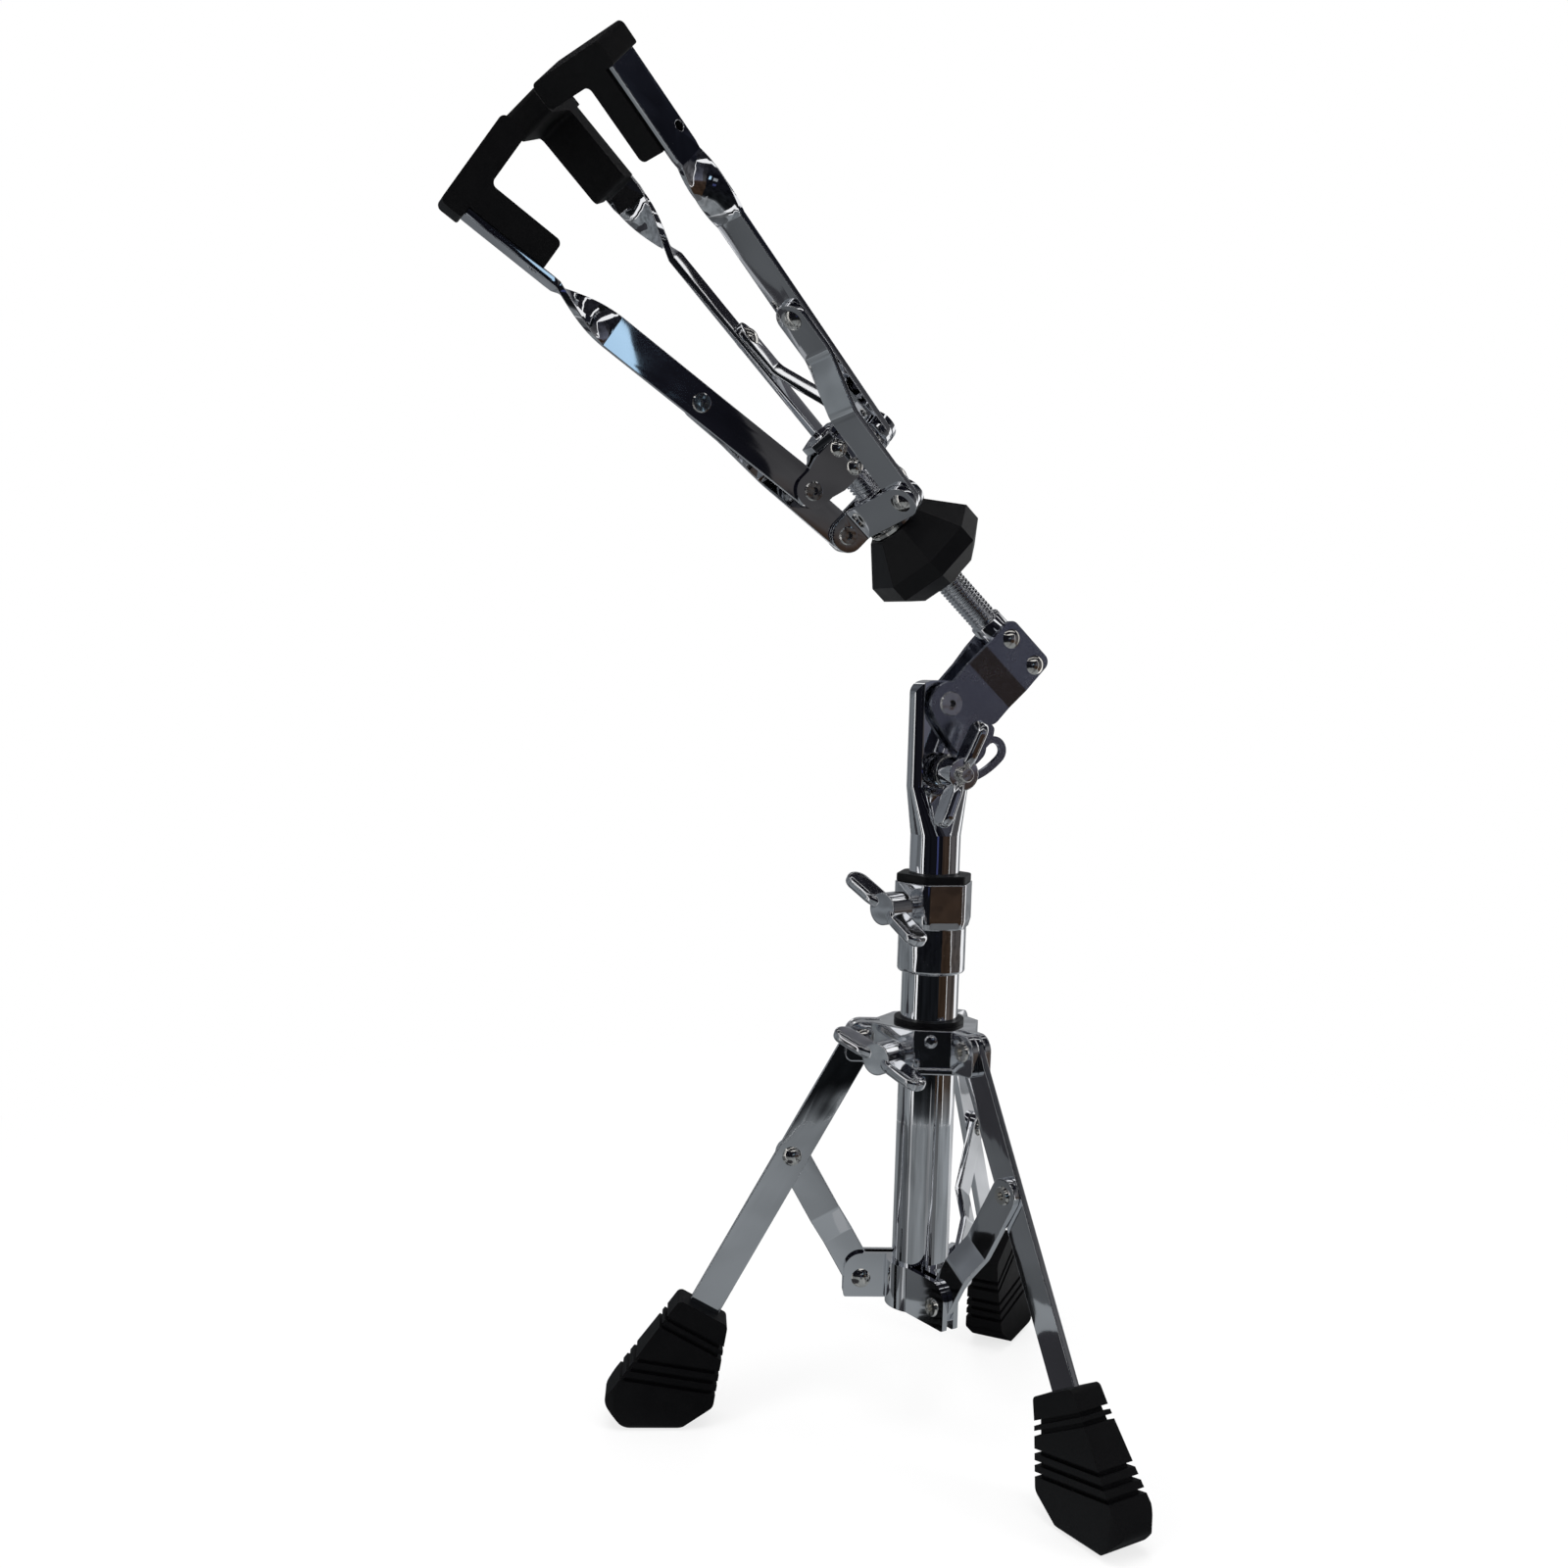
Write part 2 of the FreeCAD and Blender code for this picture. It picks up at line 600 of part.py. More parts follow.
def leg_hub():
    """The cast hub: flat panels between three slotted pairs of ears, spot-faced for the rivets' domes."""
    normals = []
    for azimuth in sorted(LEG_AZIMUTHS):
        for turn in HUB_PANEL_ANGLES:
            normals.append(azimuth + 60 + turn)
    body = slab(panels(normals, HUB_PANEL, HUB_PANEL_CORNER), HUB_BOTTOM, HUB_TOP)
    rim = panels(normals, HUB_PANEL + HUB_RIM, HUB_RIM_CORNER)
    body = body.fuse(slab(rim, HUB_BOTTOM, HUB_BOTTOM + 2 * HUB_RIM))
    gap = LEG_THICK / 2 + SIDE_GAP
    face = [(LOWER_R, HUB_EAR_FOOT, 0), (HUB_EAR_END, HUB_EAR_FOOT, HUB_EAR_FOOT_CORNER),
            (HUB_EAR_END, HUB_TOP, HUB_EAR_CORNER), (LOWER_R, HUB_TOP, 0)]
    low = HUB_BOTTOM - OVERCUT
    high = HUB_TOP + OVERCUT
    clear = HUB_EAR_END + OVERCUT
    slot = [(HUB_SLOT_R, low, 0), (clear, low, 0), (clear, high, 0), (HUB_SLOT_R, high, 0)]
    pair = upright(face, -gap - HUB_EAR, gap + HUB_EAR)
    reach = V(0, gap + HUB_EAR, 0)
    middle = V(HUB_PIN_R, 0, HUB_PIN_Z)
    hole = rod(HUB_PIN_SHANK + PRESS_GAP, middle - reach, middle + reach)
    seat = rod(DOME_R + SIDE_GAP, middle + reach, middle + 2 * reach)
    body = body.fuse([at_leg(pair, k) for k in range(3)])
    body = body.cut([at_leg(upright(slot, -gap, gap), k) for k in range(3)])
    body = body.cut([at_leg(tool, k) for k in range(3) for tool in (hole, seat)])
    body = body.cut(Part.makeCylinder(LOWER_R + HUB_BUSH_WALL, HUB_TOP, V(0, 0, low)))
    return body.cut(cross_hole(BOLT_R + THREAD_FIT, HUB_BOLT_Z, HUB_BOLT_AZIMUTH)).removeSplitter()


def hub_bush():
    """The hub's black liner, flanged over the casting."""
    wall = LOWER_R + HUB_BUSH_WALL
    body = ring(wall - PRESS_GAP, LOWER_R + SLIDE_FIT, HUB_BOTTOM, HUB_TOP)
    body = body.fuse(ring(wall + HUB_BUSH_RIM, LOWER_R + SLIDE_FIT, HUB_TOP, HUB_TOP + HUB_BUSH_FLANGE))
    return body.cut(cross_hole(BOLT_R + CROSS_PLAY, HUB_BOLT_Z, HUB_BOLT_AZIMUTH)).removeSplitter()


def hub_rivet():
    """The rivet that a leg hangs on."""
    reach = LEG_THICK / 2 + SIDE_GAP + HUB_EAR
    body = rivet(HUB_PIN_SHANK, reach, -reach, DOME_R, DOME_H)
    body.translate(V(HUB_PIN_R, 0, HUB_PIN_Z))
    return body


def wings(start, turn):
    """The two wings and barrel of a wing screw along X, from start outward."""
    body = rod(BARREL_R, V(start, 0, 0), V(start + BARREL_LENGTH, 0, 0))
    near = start + WING_FLARE - WING_LOBE
    far = start + WING_FLARE + WING_LOBE
    for side in (1, -1):
        root = side * BARREL_R
        tip = side * WING_SPAN
        face = [(start + WING_ROOT, 0, 0), (near - WING_WAIST, root, WING_SWEEP), (near, tip, WING_TIP),
                (far, tip, WING_TIP), (far - WING_WAIST, root, WING_SWEEP),
                (start + BARREL_LENGTH - WING_ROOT, 0, 0)]
        wing = slab(face, -WING_THICK / 2, WING_THICK / 2)
        level = [e for e in wing.Edges if e.BoundBox.ZLength < TINY]
        rims = [e for e in level if abs(e.CenterOfMass.y) > BARREL_R]
        body = body.fuse(wing.makeFillet(WING_EDGE, rims))
    return place(body.removeSplitter(), V(0, 0, 0), V(1, 0, 0), turn)


def wing_bolt(tip, start, height, azimuth, turn):
    """A wing bolt pointing at the column, its tip and the start of its wings at the given radii."""
    body = wings(start, turn).fuse(rod(BOLT_R, V(tip, 0, 0), V(start + BARREL_R, 0, 0)))
    return place(body.removeSplitter(), V(0, 0, height), V(0, 0, 1), azimuth)


foot = boot()
leg = leg_strip()
brace = brace_strip()
pin = leg_rivet()
plate = collar_plate()
for k in range(3):
    write("leg_%d" % (k + 1), at_leg(leg, k))
    write("foot_%d" % (k + 1), at_leg(foot, k))
    write("leg_rivet_%d" % (k + 1), at_leg(pin, k))
    write("brace_%d" % (k + 1), at_leg(brace, k))
    write("collar_plate_%d" % (k + 1), at_leg(plate, k))
write("collar_rivets", *[at_leg(collar_rivet(), k) for k in range(3)])
write("leg_hub", leg_hub())
write("hub_bush", hub_bush())
write("hub_rivets", *[at_leg(hub_rivet(), k) for k in range(3)])
write("hub_wing_bolt", wing_bolt(LOWER_R + BOLT_TIP_GAP, HUB_PANEL + WING_STAND, HUB_BOLT_Z,
                                 HUB_BOLT_AZIMUTH, HUB_WING_ANGLE))


# Column

def lower_tube():
    """The lower tube."""
    return ring(LOWER_R, LOWER_BORE, LOWER_BOTTOM, LOWER_TOP)


def height_clamp():
    """The cast height clamp: a sleeve on the lower tube under a six-sided block for the wing bolt."""
    body = Part.makeCylinder(CLAMP_SLEEVE_R, CLAMP_BLOCK - CLAMP_BOTTOM, V(0, 0, CLAMP_BOTTOM))
    foot = [e for e in body.Edges if e.BoundBox.ZMax < CLAMP_BOTTOM + TINY]
    body = body.makeFillet(CLAMP_SLEEVE_ROUND, foot)
    wide = outline(hexagon(2 * CLAMP_APOTHEM, CLAMP_AZIMUTH, CLAMP_CORNER))
    slim = outline(hexagon(2 * CLAMP_SLEEVE_R, CLAMP_AZIMUTH, CLAMP_CORNER))
    slim.translate(V(0, 0, CLAMP_BLOCK - CLAMP_LEDGE))
    wide.translate(V(0, 0, CLAMP_BLOCK))
    ledge = Part.makeLoft([slim, wide], True, True)
    block = Part.Face(wide).extrude(V(0, 0, CLAMP_TOP - CLAMP_BLOCK))
    body = body.fuse([ledge, block])
    body = body.cut(Part.makeCylinder(LOWER_R + PRESS_GAP, CLAMP_TOP, V(0, 0, CLAMP_BOTTOM - OVERCUT)))
    body = body.cut(Part.makeCylinder(CLAMP_BUSH_R, CLAMP_TOP, V(0, 0, LOWER_TOP)))
    return body.cut(cross_hole(BOLT_R + THREAD_FIT, CLAMP_BOLT_Z, CLAMP_AZIMUTH)).removeSplitter()


def height_bush():
    """The black bush that guides the upper tube, with a six-sided flange on the clamp."""
    bore = UPPER_TUBE_R + SLIDE_FIT
    body = Part.makeCylinder(CLAMP_BUSH_R - PRESS_GAP, CLAMP_TOP - LOWER_TOP, V(0, 0, LOWER_TOP))
    flange = hexagon(2 * CLAMP_FLANGE_R, CLAMP_AZIMUTH, CLAMP_CORNER)
    body = body.fuse(slab(flange, CLAMP_TOP, CLAMP_TOP + CLAMP_FLANGE))
    body = body.cut(Part.makeCylinder(bore, CLAMP_TOP, V(0, 0, LOWER_TOP - OVERCUT)))
    return body.cut(cross_hole(BOLT_R + CROSS_PLAY, CLAMP_BOLT_Z, CLAMP_AZIMUTH)).removeSplitter()


def upper_tube():
    """The upper tube, swaged from round to a flat tongue at its top."""
    body = ring(UPPER_TUBE_R, UPPER_TUBE_R - UPPER_WALL, UPPER_BOTTOM, SWAGE_FOOT)
    wide = TONGUE_WIDTH / 2
    thick = TONGUE_THICK / 2
    r = UPPER_TUBE_R
    flat = [(wide, thick, TONGUE_ROUND), (-wide, thick, TONGUE_ROUND), (-wide, -thick, TONGUE_ROUND),
            (wide, -thick, TONGUE_ROUND)]
    low = outline([(r, r, SWAGE_ROUND), (-r, r, SWAGE_ROUND), (-r, -r, SWAGE_ROUND), (r, -r, SWAGE_ROUND)])
    high = outline(flat)
    low.translate(V(0, 0, SWAGE_FOOT))
    high.translate(V(0, 0, TONGUE_FOOT))
    swage = Part.makeLoft([low, high], True, True)
    face = [(-wide, TONGUE_FOOT, 0), (wide, TONGUE_FOOT, 0), (wide, TONGUE_TOP, TONGUE_CORNER),
            (-wide, TONGUE_TOP, TONGUE_CORNER)]
    tongue = upright(face, -thick, thick).common(slab(flat, TONGUE_FOOT, TONGUE_TOP))
    body = body.fuse([swage, tongue])
    reach = V(0, TONGUE_WIDTH, 0)
    holes = ((PIVOT_Z, PIVOT_SHANK + PIN_FIT), (PIVOT_Z - TILT_ARC, TILT_BOLT_R + PRESS_GAP))
    for height, radius in holes:
        body = body.cut(rod(radius, V(0, 0, height) - reach, V(0, 0, height) + reach))
    return body.removeSplitter()


def guide_plug():
    """The plastic plug that guides the upper tube's foot inside the lower tube."""
    body = Part.makeCylinder(LOWER_BORE - SLIDE_FIT, GUIDE_H, V(0, 0, UPPER_BOTTOM - GUIDE_H))
    spigot = Part.makeCylinder(UPPER_TUBE_R - UPPER_WALL - PRESS_GAP, GUIDE_H, V(0, 0, UPPER_BOTTOM))
    return body.fuse(spigot).removeSplitter()


write("lower_tube", lower_tube())
write("height_clamp", height_clamp())
write("height_bush", height_bush())
write("height_wing_bolt", wing_bolt(UPPER_TUBE_R + BOLT_TIP_GAP, CLAMP_APOTHEM + WING_STAND, CLAMP_BOLT_Z,
                                    CLAMP_AZIMUTH, HEIGHT_WING_ANGLE))
write("upper_tube", upper_tube())
write("guide_plug", guide_plug())


# Tilter

PLATE_IN = TONGUE_THICK / 2 + PLATE_GAP
QUADRANT_IN = PLATE_IN + PLATE_THICK
QUADRANT_OUT = QUADRANT_IN + PLATE_THICK
ROD_FACE = ROD_FOOT_R + PRESS_GAP


def both_sides(x, z, radius):
    """A bar along Y through the head at one place."""
    reach = V(0, TONGUE_WIDTH, 0)
    return rod(radius, V(x, 0, z) - reach, V(x, 0, z) + reach)


def tilt_plate(side):
    """A pressed cheek: close on the tongue, stepped out to the rod's foot."""
    near = PLATE_IN + PLATE_THICK / 2
    far = ROD_FACE + PLATE_THICK / 2
    line = [(PLATE_NEAR, side * near, 0), (JOG_NEAR, side * near, PLATE_THICK),
            (JOG_FAR, side * far, PLATE_THICK), (PLATE_OUT, side * far, 0)]
    body = slab(ribbon(line, PLATE_THICK), PLATE_LOW, PLATE_HIGH)
    face = [(PLATE_NEAR, PLATE_HIGH, PLATE_NEAR_CORNER), (PLATE_OUT, PLATE_HIGH, PLATE_CORNER),
            (PLATE_OUT, PLATE_LOW, PLATE_CORNER), (-PLATE_NEAR, PLATE_LOW, PLATE_NEAR_CORNER),
            (PLATE_NEAR, -PIVOT_DISC, PLATE_BACK_CORNER)]
    body = body.common(upright(face, -TONGUE_WIDTH, TONGUE_WIDTH))
    body = body.cut(both_sides(0, 0, PIVOT_SHANK + PRESS_GAP))
    for s in ROD_RIVETS:
        body = body.cut(both_sides(ROD_OFFSET, s, PIN_R + PRESS_GAP))
    return in_head(body)


def arc_slot(half, low, high):
    """The curved band round the pivot that the clamp bolt travels, with round ends."""
    height = high - low
    up = V(0, 0, 1)
    band = Part.makeCylinder(TILT_ARC + half, height, V(0, 0, low), up, TILT_ANGLE)
    band = band.cut(Part.makeCylinder(TILT_ARC - half, height, V(0, 0, low)))
    for angle in (0, TILT_ANGLE):
        a = math.radians(angle)
        end = V(TILT_ARC * math.cos(a), TILT_ARC * math.sin(a), low)
        band = band.fuse(Part.makeCylinder(half, height, end))
    return band.removeSplitter()


def quadrant(side):
    """The slotted quadrant riveted outside the cheek."""
    low, high = (QUADRANT_IN, QUADRANT_OUT) if side > 0 else (-QUADRANT_OUT, -QUADRANT_IN)
    rim = TILT_BOLT_R + SLOT_PLAY + SLOT_RIM
    turn = -90 - LEAN
    web = [(PIVOT_DISC, WEB_TOP, 0), (WEB_WAIST, rim - TILT_ARC, WEB_CORNER), (WEB_FOOT, -TILT_ARC, 0),
           (WEB_OUT, WEB_OUT_LOW, 0), (WEB_SHOULDER, WEB_SHOULDER_Z, WEB_CORNER), (-PIVOT_DISC, WEB_TOP, 0)]
    plate = slab(web, 0, PLATE_THICK)
    band = place(arc_slot(rim, 0, PLATE_THICK), V(0, 0, 0), V(0, 0, 1), turn)
    plate = plate.fuse([Part.makeCylinder(PIVOT_DISC, PLATE_THICK), band]).removeSplitter()
    slot = arc_slot(TILT_BOLT_R + SLOT_PLAY, -OVERCUT, PLATE_THICK + OVERCUT)
    slot = place(slot, V(0, 0, 0), V(0, 0, 1), turn)
    plate = plate.cut([slot, Part.makeCylinder(PIVOT_SHANK + PRESS_GAP, PLATE_THICK)])
    return in_head(place(plate, V(0, high, 0), V(1, 0, 0), 90))


def tilt_bolt():
    """The clamp bolt through tongue and slots, its hex head behind."""
    seat = QUADRANT_OUT + PLATE_GAP + WASHER_H
    body = rod(TILT_BOLT_R, V(0, TILT_BOLT_END, 0), V(0, seat, 0))
    head = place(slab(hexagon(HEX_FLATS, 0, 0), 0, HEX_H), V(0, seat + HEX_H, 0), V(1, 0, 0), 90)
    body = body.fuse(head).removeSplitter()
    body.translate(V(0, 0, PIVOT_Z - TILT_ARC))
    return body


def tilt_washer(side):
    """A washer between quadrant and clamp."""
    seat = QUADRANT_OUT + PLATE_GAP
    low = seat if side > 0 else -seat - WASHER_H
    body = ring(WASHER_R, TILT_BOLT_R + PIN_FIT, 0, WASHER_H)
    return place(body, V(0, low + WASHER_H, PIVOT_Z - TILT_ARC), V(1, 0, 0), 90)


def tilt_wing_nut():
    """The wing nut on the front of the clamp bolt."""
    seat = QUADRANT_OUT + 2 * PLATE_GAP + WASHER_H
    body = wings(seat, TILT_WING_ANGLE)
    body = body.cut(rod(TILT_BOLT_R + THREAD_FIT, V(0, 0, 0), V(2 * seat + WING_SPAN, 0, 0)))
    return place(body, V(0, 0, PIVOT_Z - TILT_ARC), V(0, 0, 1), -90)


def pivot_rivet():
    """The pivot rivet, its hollow end in front."""
    return in_head(rivet(PIVOT_SHANK, QUADRANT_OUT, -QUADRANT_OUT, PIVOT_DOME_R, DOME_H))


def rod_rivet(s):
    """A rivet through cheeks and rod foot."""
    outer = ROD_FACE + PLATE_THICK
    body = rivet(PIN_R, -outer, outer, DOME_R, DOME_H)
    body.translate(V(ROD_OFFSET, 0, s))
    return in_head(body)


def basket_rod():
    """The rod: a plain foot between the cheeks and the threaded length that the knob runs on."""
    body = Part.makeCylinder(ROD_FOOT_R, ROD_FOOT_TOP - ROD_BOTTOM, V(ROD_OFFSET, 0, ROD_BOTTOM))
    body = body.fuse(Part.makeCylinder(ROD_R, ROD_TOP - ROD_FOOT_TOP, V(ROD_OFFSET, 0, ROD_FOOT_TOP)))
    for s in ROD_RIVETS:
        body = body.cut(both_sides(ROD_OFFSET, s, PIN_R + PRESS_GAP))
    body = in_head(body.removeSplitter())
    return body.cut([at_arm(hole, k) for k in range(3) for hole in stud_holes()])


def stud_holes():
    """Where the upper plates' fasteners enter block and rod, in an arm's frame."""
    holes = []
    for sign in (1, -1):
        s = UPPER_S + sign * UPPER_RIVET_STEP / 2
        holes.append(rod(UPPER_RIVET_R + PRESS_GAP, V(0, STUD_END, s), V(0, 2 * UPPER_FLAT, s)))
    return holes


write("tilt_plate_front", tilt_plate(-1))
write("tilt_plate_back", tilt_plate(1))
write("quadrant_front", quadrant(-1))
write("quadrant_back", quadrant(1))
write("pivot_rivet", pivot_rivet())
write("tilt_bolt", tilt_bolt())
write("tilt_washers", tilt_washer(-1), tilt_washer(1))
write("tilt_wing_nut", tilt_wing_nut())
write("rod_rivets", *[rod_rivet(s) for s in ROD_RIVETS])
write("basket_rod", basket_rod())


# Basket

def bracket(flat, pitch, centre, height, pin_r, pin_s, hand):
    """One pinwheel plate: its flat lies against the block on one arm's side and is that arm's
    outer ear; bent at the far end, it is the inner ear of the arm a third of a turn on."""
    other = flat - pitch
    bend = -(other + flat / 2) * 2 / math.sqrt(3)
    start = -bend / 2 + flat * math.sqrt(3) / 2
    end = pin_r + EAR_ROUND
    third = math.radians(120)
    tip = V(bend + (end - start) * math.cos(third), flat + (end - start) * math.sin(third), 0)
    line = [(end, hand * flat, 0), (bend, hand * flat, BEND_R), (tip.x, hand * tip.y, 0)]
    low = centre - height / 2
    high = centre + height / 2
    plate = slab(ribbon(line, SHEET), low, high)
    neck_in = EAR_NECK_IN * pin_r
    neck_out = EAR_NECK_OUT * pin_r
    ear_low = pin_s - EAR_HIGH / 2
    ear_high = pin_s + EAR_HIGH / 2
    limit = [(-2 * end, low, 0), (neck_in, low, 0), (neck_out, ear_low, 0), (end, ear_low, EAR_ROUND),
             (end, ear_high, EAR_ROUND), (neck_out, ear_high, 0), (neck_in, high, 0), (-2 * end, high, 0)]
    shape = upright(limit, -2 * end, 2 * end)
    hole = rod(PIN_R + PRESS_GAP, V(pin_r, 0, pin_s), V(pin_r, 2 * hand * flat, pin_s))
    for turn in (0, 120 * hand):
        plate = plate.common(place(shape, V(0, 0, 0), V(0, 0, 1), turn))
        plate = plate.cut(place(hole, V(0, 0, 0), V(0, 0, 1), turn))
    return plate


def block(apothem, bore, low, high, hand):
    """A three-sided sleeve with rounded edges, one flat for each plate."""
    normals = [turn + 90 * hand for turn in ARM_ANGLES]
    body = slab(panels(normals, apothem, BLOCK_ROUND), low, high)
    body = body.cut(Part.makeCylinder(bore, high - low, V(0, 0, low)))
    return on_rod(body)


def stud(k, sign):
    """A dome-headed fastener that holds an upper plate to the block."""
    seat = UPPER_FLAT + SHEET / 2
    ball = (SMALL_DOME_R ** 2 + SMALL_DOME_H ** 2) / (2 * SMALL_DOME_H)
    dome = Part.makeSphere(ball, V(0, seat + SMALL_DOME_H - ball, 0))
    dome = dome.common(rod(SMALL_DOME_R, V(0, seat, 0), V(0, seat + SMALL_DOME_H, 0)))
    body = dome.fuse(rod(UPPER_RIVET_R, V(0, STUD_END, 0), V(0, seat, 0))).removeSplitter()
    body.translate(V(0, 0, UPPER_S + sign * UPPER_RIVET_STEP / 2))
    return at_arm(body, k)


def arm_swing(shape):
    """Stand a shape drawn straight up from the upper pin at the arm's angle."""
    return place(shape, V(UPPER_R, ARM_T, UPPER_S), V(0, 1, 0), ARM_ANGLE)


def tip_bar(extra):
    """The arm's bent end: a plate along the arm and a lip turned in towards the rod."""
    top = TIP_LENGTH - ARM_THICK / 2
    line = [(0, TWIST_END, 0), (0, top, TIP_BEND), (-TIP_LIP, top, 0)]
    return upright(ribbon(line, ARM_THICK + 2 * extra), -TIP_WIDTH, TIP_WIDTH)


def arm():
    """The arm: a flat strip on edge, a quarter twist, then a wider plate with its lip."""
    half = ARM_WIDTH / 2
    thick = ARM_THICK / 2
    strip = [(-half, TWIST_START, 0), (-half, -half, half), (half, -half, half), (half, TWIST_START, 0)]
    body = upright(strip, -thick, thick)
    sections = []
    for i in range(TWIST_STEPS + 1):
        share = i / TWIST_STEPS
        rectangle = outline([(half, thick, 0), (-half, thick, 0), (-half, -thick, 0), (half, -thick, 0)])
        height = TWIST_START + share * (TWIST_END - TWIST_START)
        sections.append(place(rectangle, V(0, 0, height), V(0, 0, 1), 90 * share))
    twist = Part.makeLoft(sections, True, False)
    wide = TIP_WIDTH / 2
    lip = LIP_WIDTH / 2
    neck = TIP_LENGTH - GRIP_COLLAR
    face = [(-half, TWIST_END, 0), (-wide, TIP_START, 0), (-wide, neck, 0), (-lip, neck, 0),
            (-lip, 2 * neck, 0), (lip, 2 * neck, 0), (lip, neck, 0), (wide, neck, 0), (wide, TIP_START, 0),
            (half, TWIST_END, 0)]
    tip = tip_bar(0).common(across(face, -2 * TIP_LIP, TIP_WIDTH))
    hole = V(0, TIP_HOLE_T, TIP_HOLE_Z)
    tip = tip.cut(rod(TIP_HOLE_R, hole - V(ARM_THICK, 0, 0), hole + V(ARM_THICK, 0, 0)))
    body = body.fuse([twist, tip])
    reach = V(0, ARM_THICK, 0)
    body = body.cut(rod(PIN_R + PIN_FIT, -reach, reach))
    pin = V(0, 0, ARM_TO_RIVET)
    body = body.cut(rod(PIN_R + PRESS_GAP, pin - reach, pin + reach))
    return arm_swing(body.removeSplitter())


def grip():
    """The rubber grip: a pad inside the arm's plate and a hook round its lip."""
    inner = -ARM_THICK / 2 - GRIP_FIT
    outer = ARM_THICK / 2 + GRIP_COVER
    top = TIP_LENGTH + GRIP_COVER
    foot = TIP_LENGTH - GRIP_LENGTH
    neck = TIP_LENGTH - GRIP_COLLAR + GRIP_FIT
    under = top - GRIP_THICK
    pad = inner - GRIP_PAD
    hook = outer - GRIP_HOOK
    face = [(outer, top, GRIP_ROUND), (hook, top, GRIP_ROUND), (hook, under, GRIP_ROUND),
            (pad, under, GRIP_ROUND), (pad, foot, GRIP_ROUND), (inner, foot, 0), (inner, neck, 0),
            (outer, neck, GRIP_NECK_ROUND)]
    body = upright(face, -GRIP_WIDTH / 2, GRIP_WIDTH / 2)
    lip = LIP_WIDTH / 2 + GRIP_FIT
    low = neck - OVERCUT
    face = [(-lip, low, 0), (lip, low, 0), (lip, 2 * neck, 0), (-lip, 2 * neck, 0)]
    room = tip_bar(GRIP_FIT).common(across(face, -TIP_LIP - GRIP_FIT, TIP_WIDTH))
    return arm_swing(body.cut(room).removeSplitter())


def arm_pin():
    """The rivet that an arm swings on."""
    body = rivet(PIN_R, UPPER_FLAT - EAR_PITCH - SHEET / 2, UPPER_FLAT + SHEET / 2, DOME_R, DOME_H)
    body.translate(V(UPPER_R, 0, UPPER_S))
    return body


def runner_pin():
    """The rivet in the runner's ears that a link's eye goes round."""
    far = RUNNER_PITCH - RUNNER_FLAT + SHEET / 2
    body = rivet(PIN_R, -RUNNER_FLAT - SHEET / 2, far, DOME_R, DOME_H)
    body.translate(V(RUNNER_R, 0, RUNNER_S))
    return body


def arm_rivet():
    """The rivet through arm and link."""
    body = rivet(PIN_R, LINK_T_HIGH - LINK_THICK / 2 - SIDE_GAP, ARM_T + ARM_THICK / 2, DOME_R, DOME_H)
    body.translate(V(ARM_RIVET_R, 0, ARM_RIVET_S))
    return body


def link():
    """The link: beside the arm at the top, stepped across to the runner's ears below."""
    half = ARM_WIDTH / 2
    end = -LINK_LENGTH - half
    line = [(LINK_T_HIGH, half, 0), (LINK_T_HIGH, -LINK_JOG_START, ARM_WIDTH),
            (LINK_T_LOW, -LINK_JOG_END, ARM_WIDTH), (LINK_T_LOW, end, 0)]
    strip = across(ribbon(line, LINK_THICK), -half, half)
    face = [(-half, end, half), (half, end, half), (half, half, half), (-half, half, half)]
    strip = strip.common(upright(face, -ARM_WIDTH, ARM_WIDTH))
    reach = V(0, ARM_WIDTH, 0)
    strip = strip.cut(rod(PIN_R + PIN_FIT, -reach, reach))
    eye = V(-LINK_EYE_ACROSS, 0, -LINK_LENGTH - LINK_EYE_ALONG)
    strip = strip.cut(rod(PIN_R + LINK_EYE_PLAY, eye - reach, eye + reach))
    return place(strip, V(ARM_RIVET_R, 0, ARM_RIVET_S), V(0, 1, 0), LINK_ANGLE)


def knob():
    """The eight-sided knob: a rounded foot, straight flats and a tapered shoulder."""
    sections = []
    levels = [(KNOB_LOW, KNOB_FOOT_APOTHEM), (KNOB_LOW + KNOB_FOOT, KNOB_APOTHEM),
              (KNOB_SHOULDER, KNOB_APOTHEM), (KNOB_HIGH, KNOB_TOP_APOTHEM)]
    for s, apothem in levels:
        wire = outline(panels([360 / KNOB_SIDES * i for i in range(KNOB_SIDES)], apothem, 0))
        wire.translate(V(ROD_OFFSET, 0, s))
        sections.append(wire)
    body = Part.makeLoft(sections, True, True)
    bore = Part.makeCylinder(INSERT_R + PRESS_GAP, KNOB_HIGH, V(ROD_OFFSET, 0, 0))
    return in_head(body.cut(bore))


upper_low = UPPER_S - PLATE_HIGH_UPPER / 2
upper_high = UPPER_S + PLATE_HIGH_UPPER / 2
runner_low = KNOB_HIGH + CROSS_PLAY + KNOB_WASHER_H
runner_high = RUNNER_S + EAR_HIGH / 2
upper_body = block(UPPER_FLAT - SHEET / 2 - PRESS_GAP, ROD_R + PRESS_GAP, upper_low, upper_high, 1)
write("upper_block", upper_body.cut([at_arm(hole, k) for k in range(3) for hole in stud_holes()]))
upper_plate = bracket(UPPER_FLAT, EAR_PITCH, UPPER_S, PLATE_HIGH_UPPER, UPPER_R, UPPER_S, 1)
upper_plate = upper_plate.cut(stud_holes())
write("upper_plates", *[at_arm(upper_plate, k) for k in range(3)])
write("upper_rivets", *[stud(k, sign) for k in range(3) for sign in (1, -1)])
write("arm_pins", *[at_arm(arm_pin(), k) for k in range(3)])
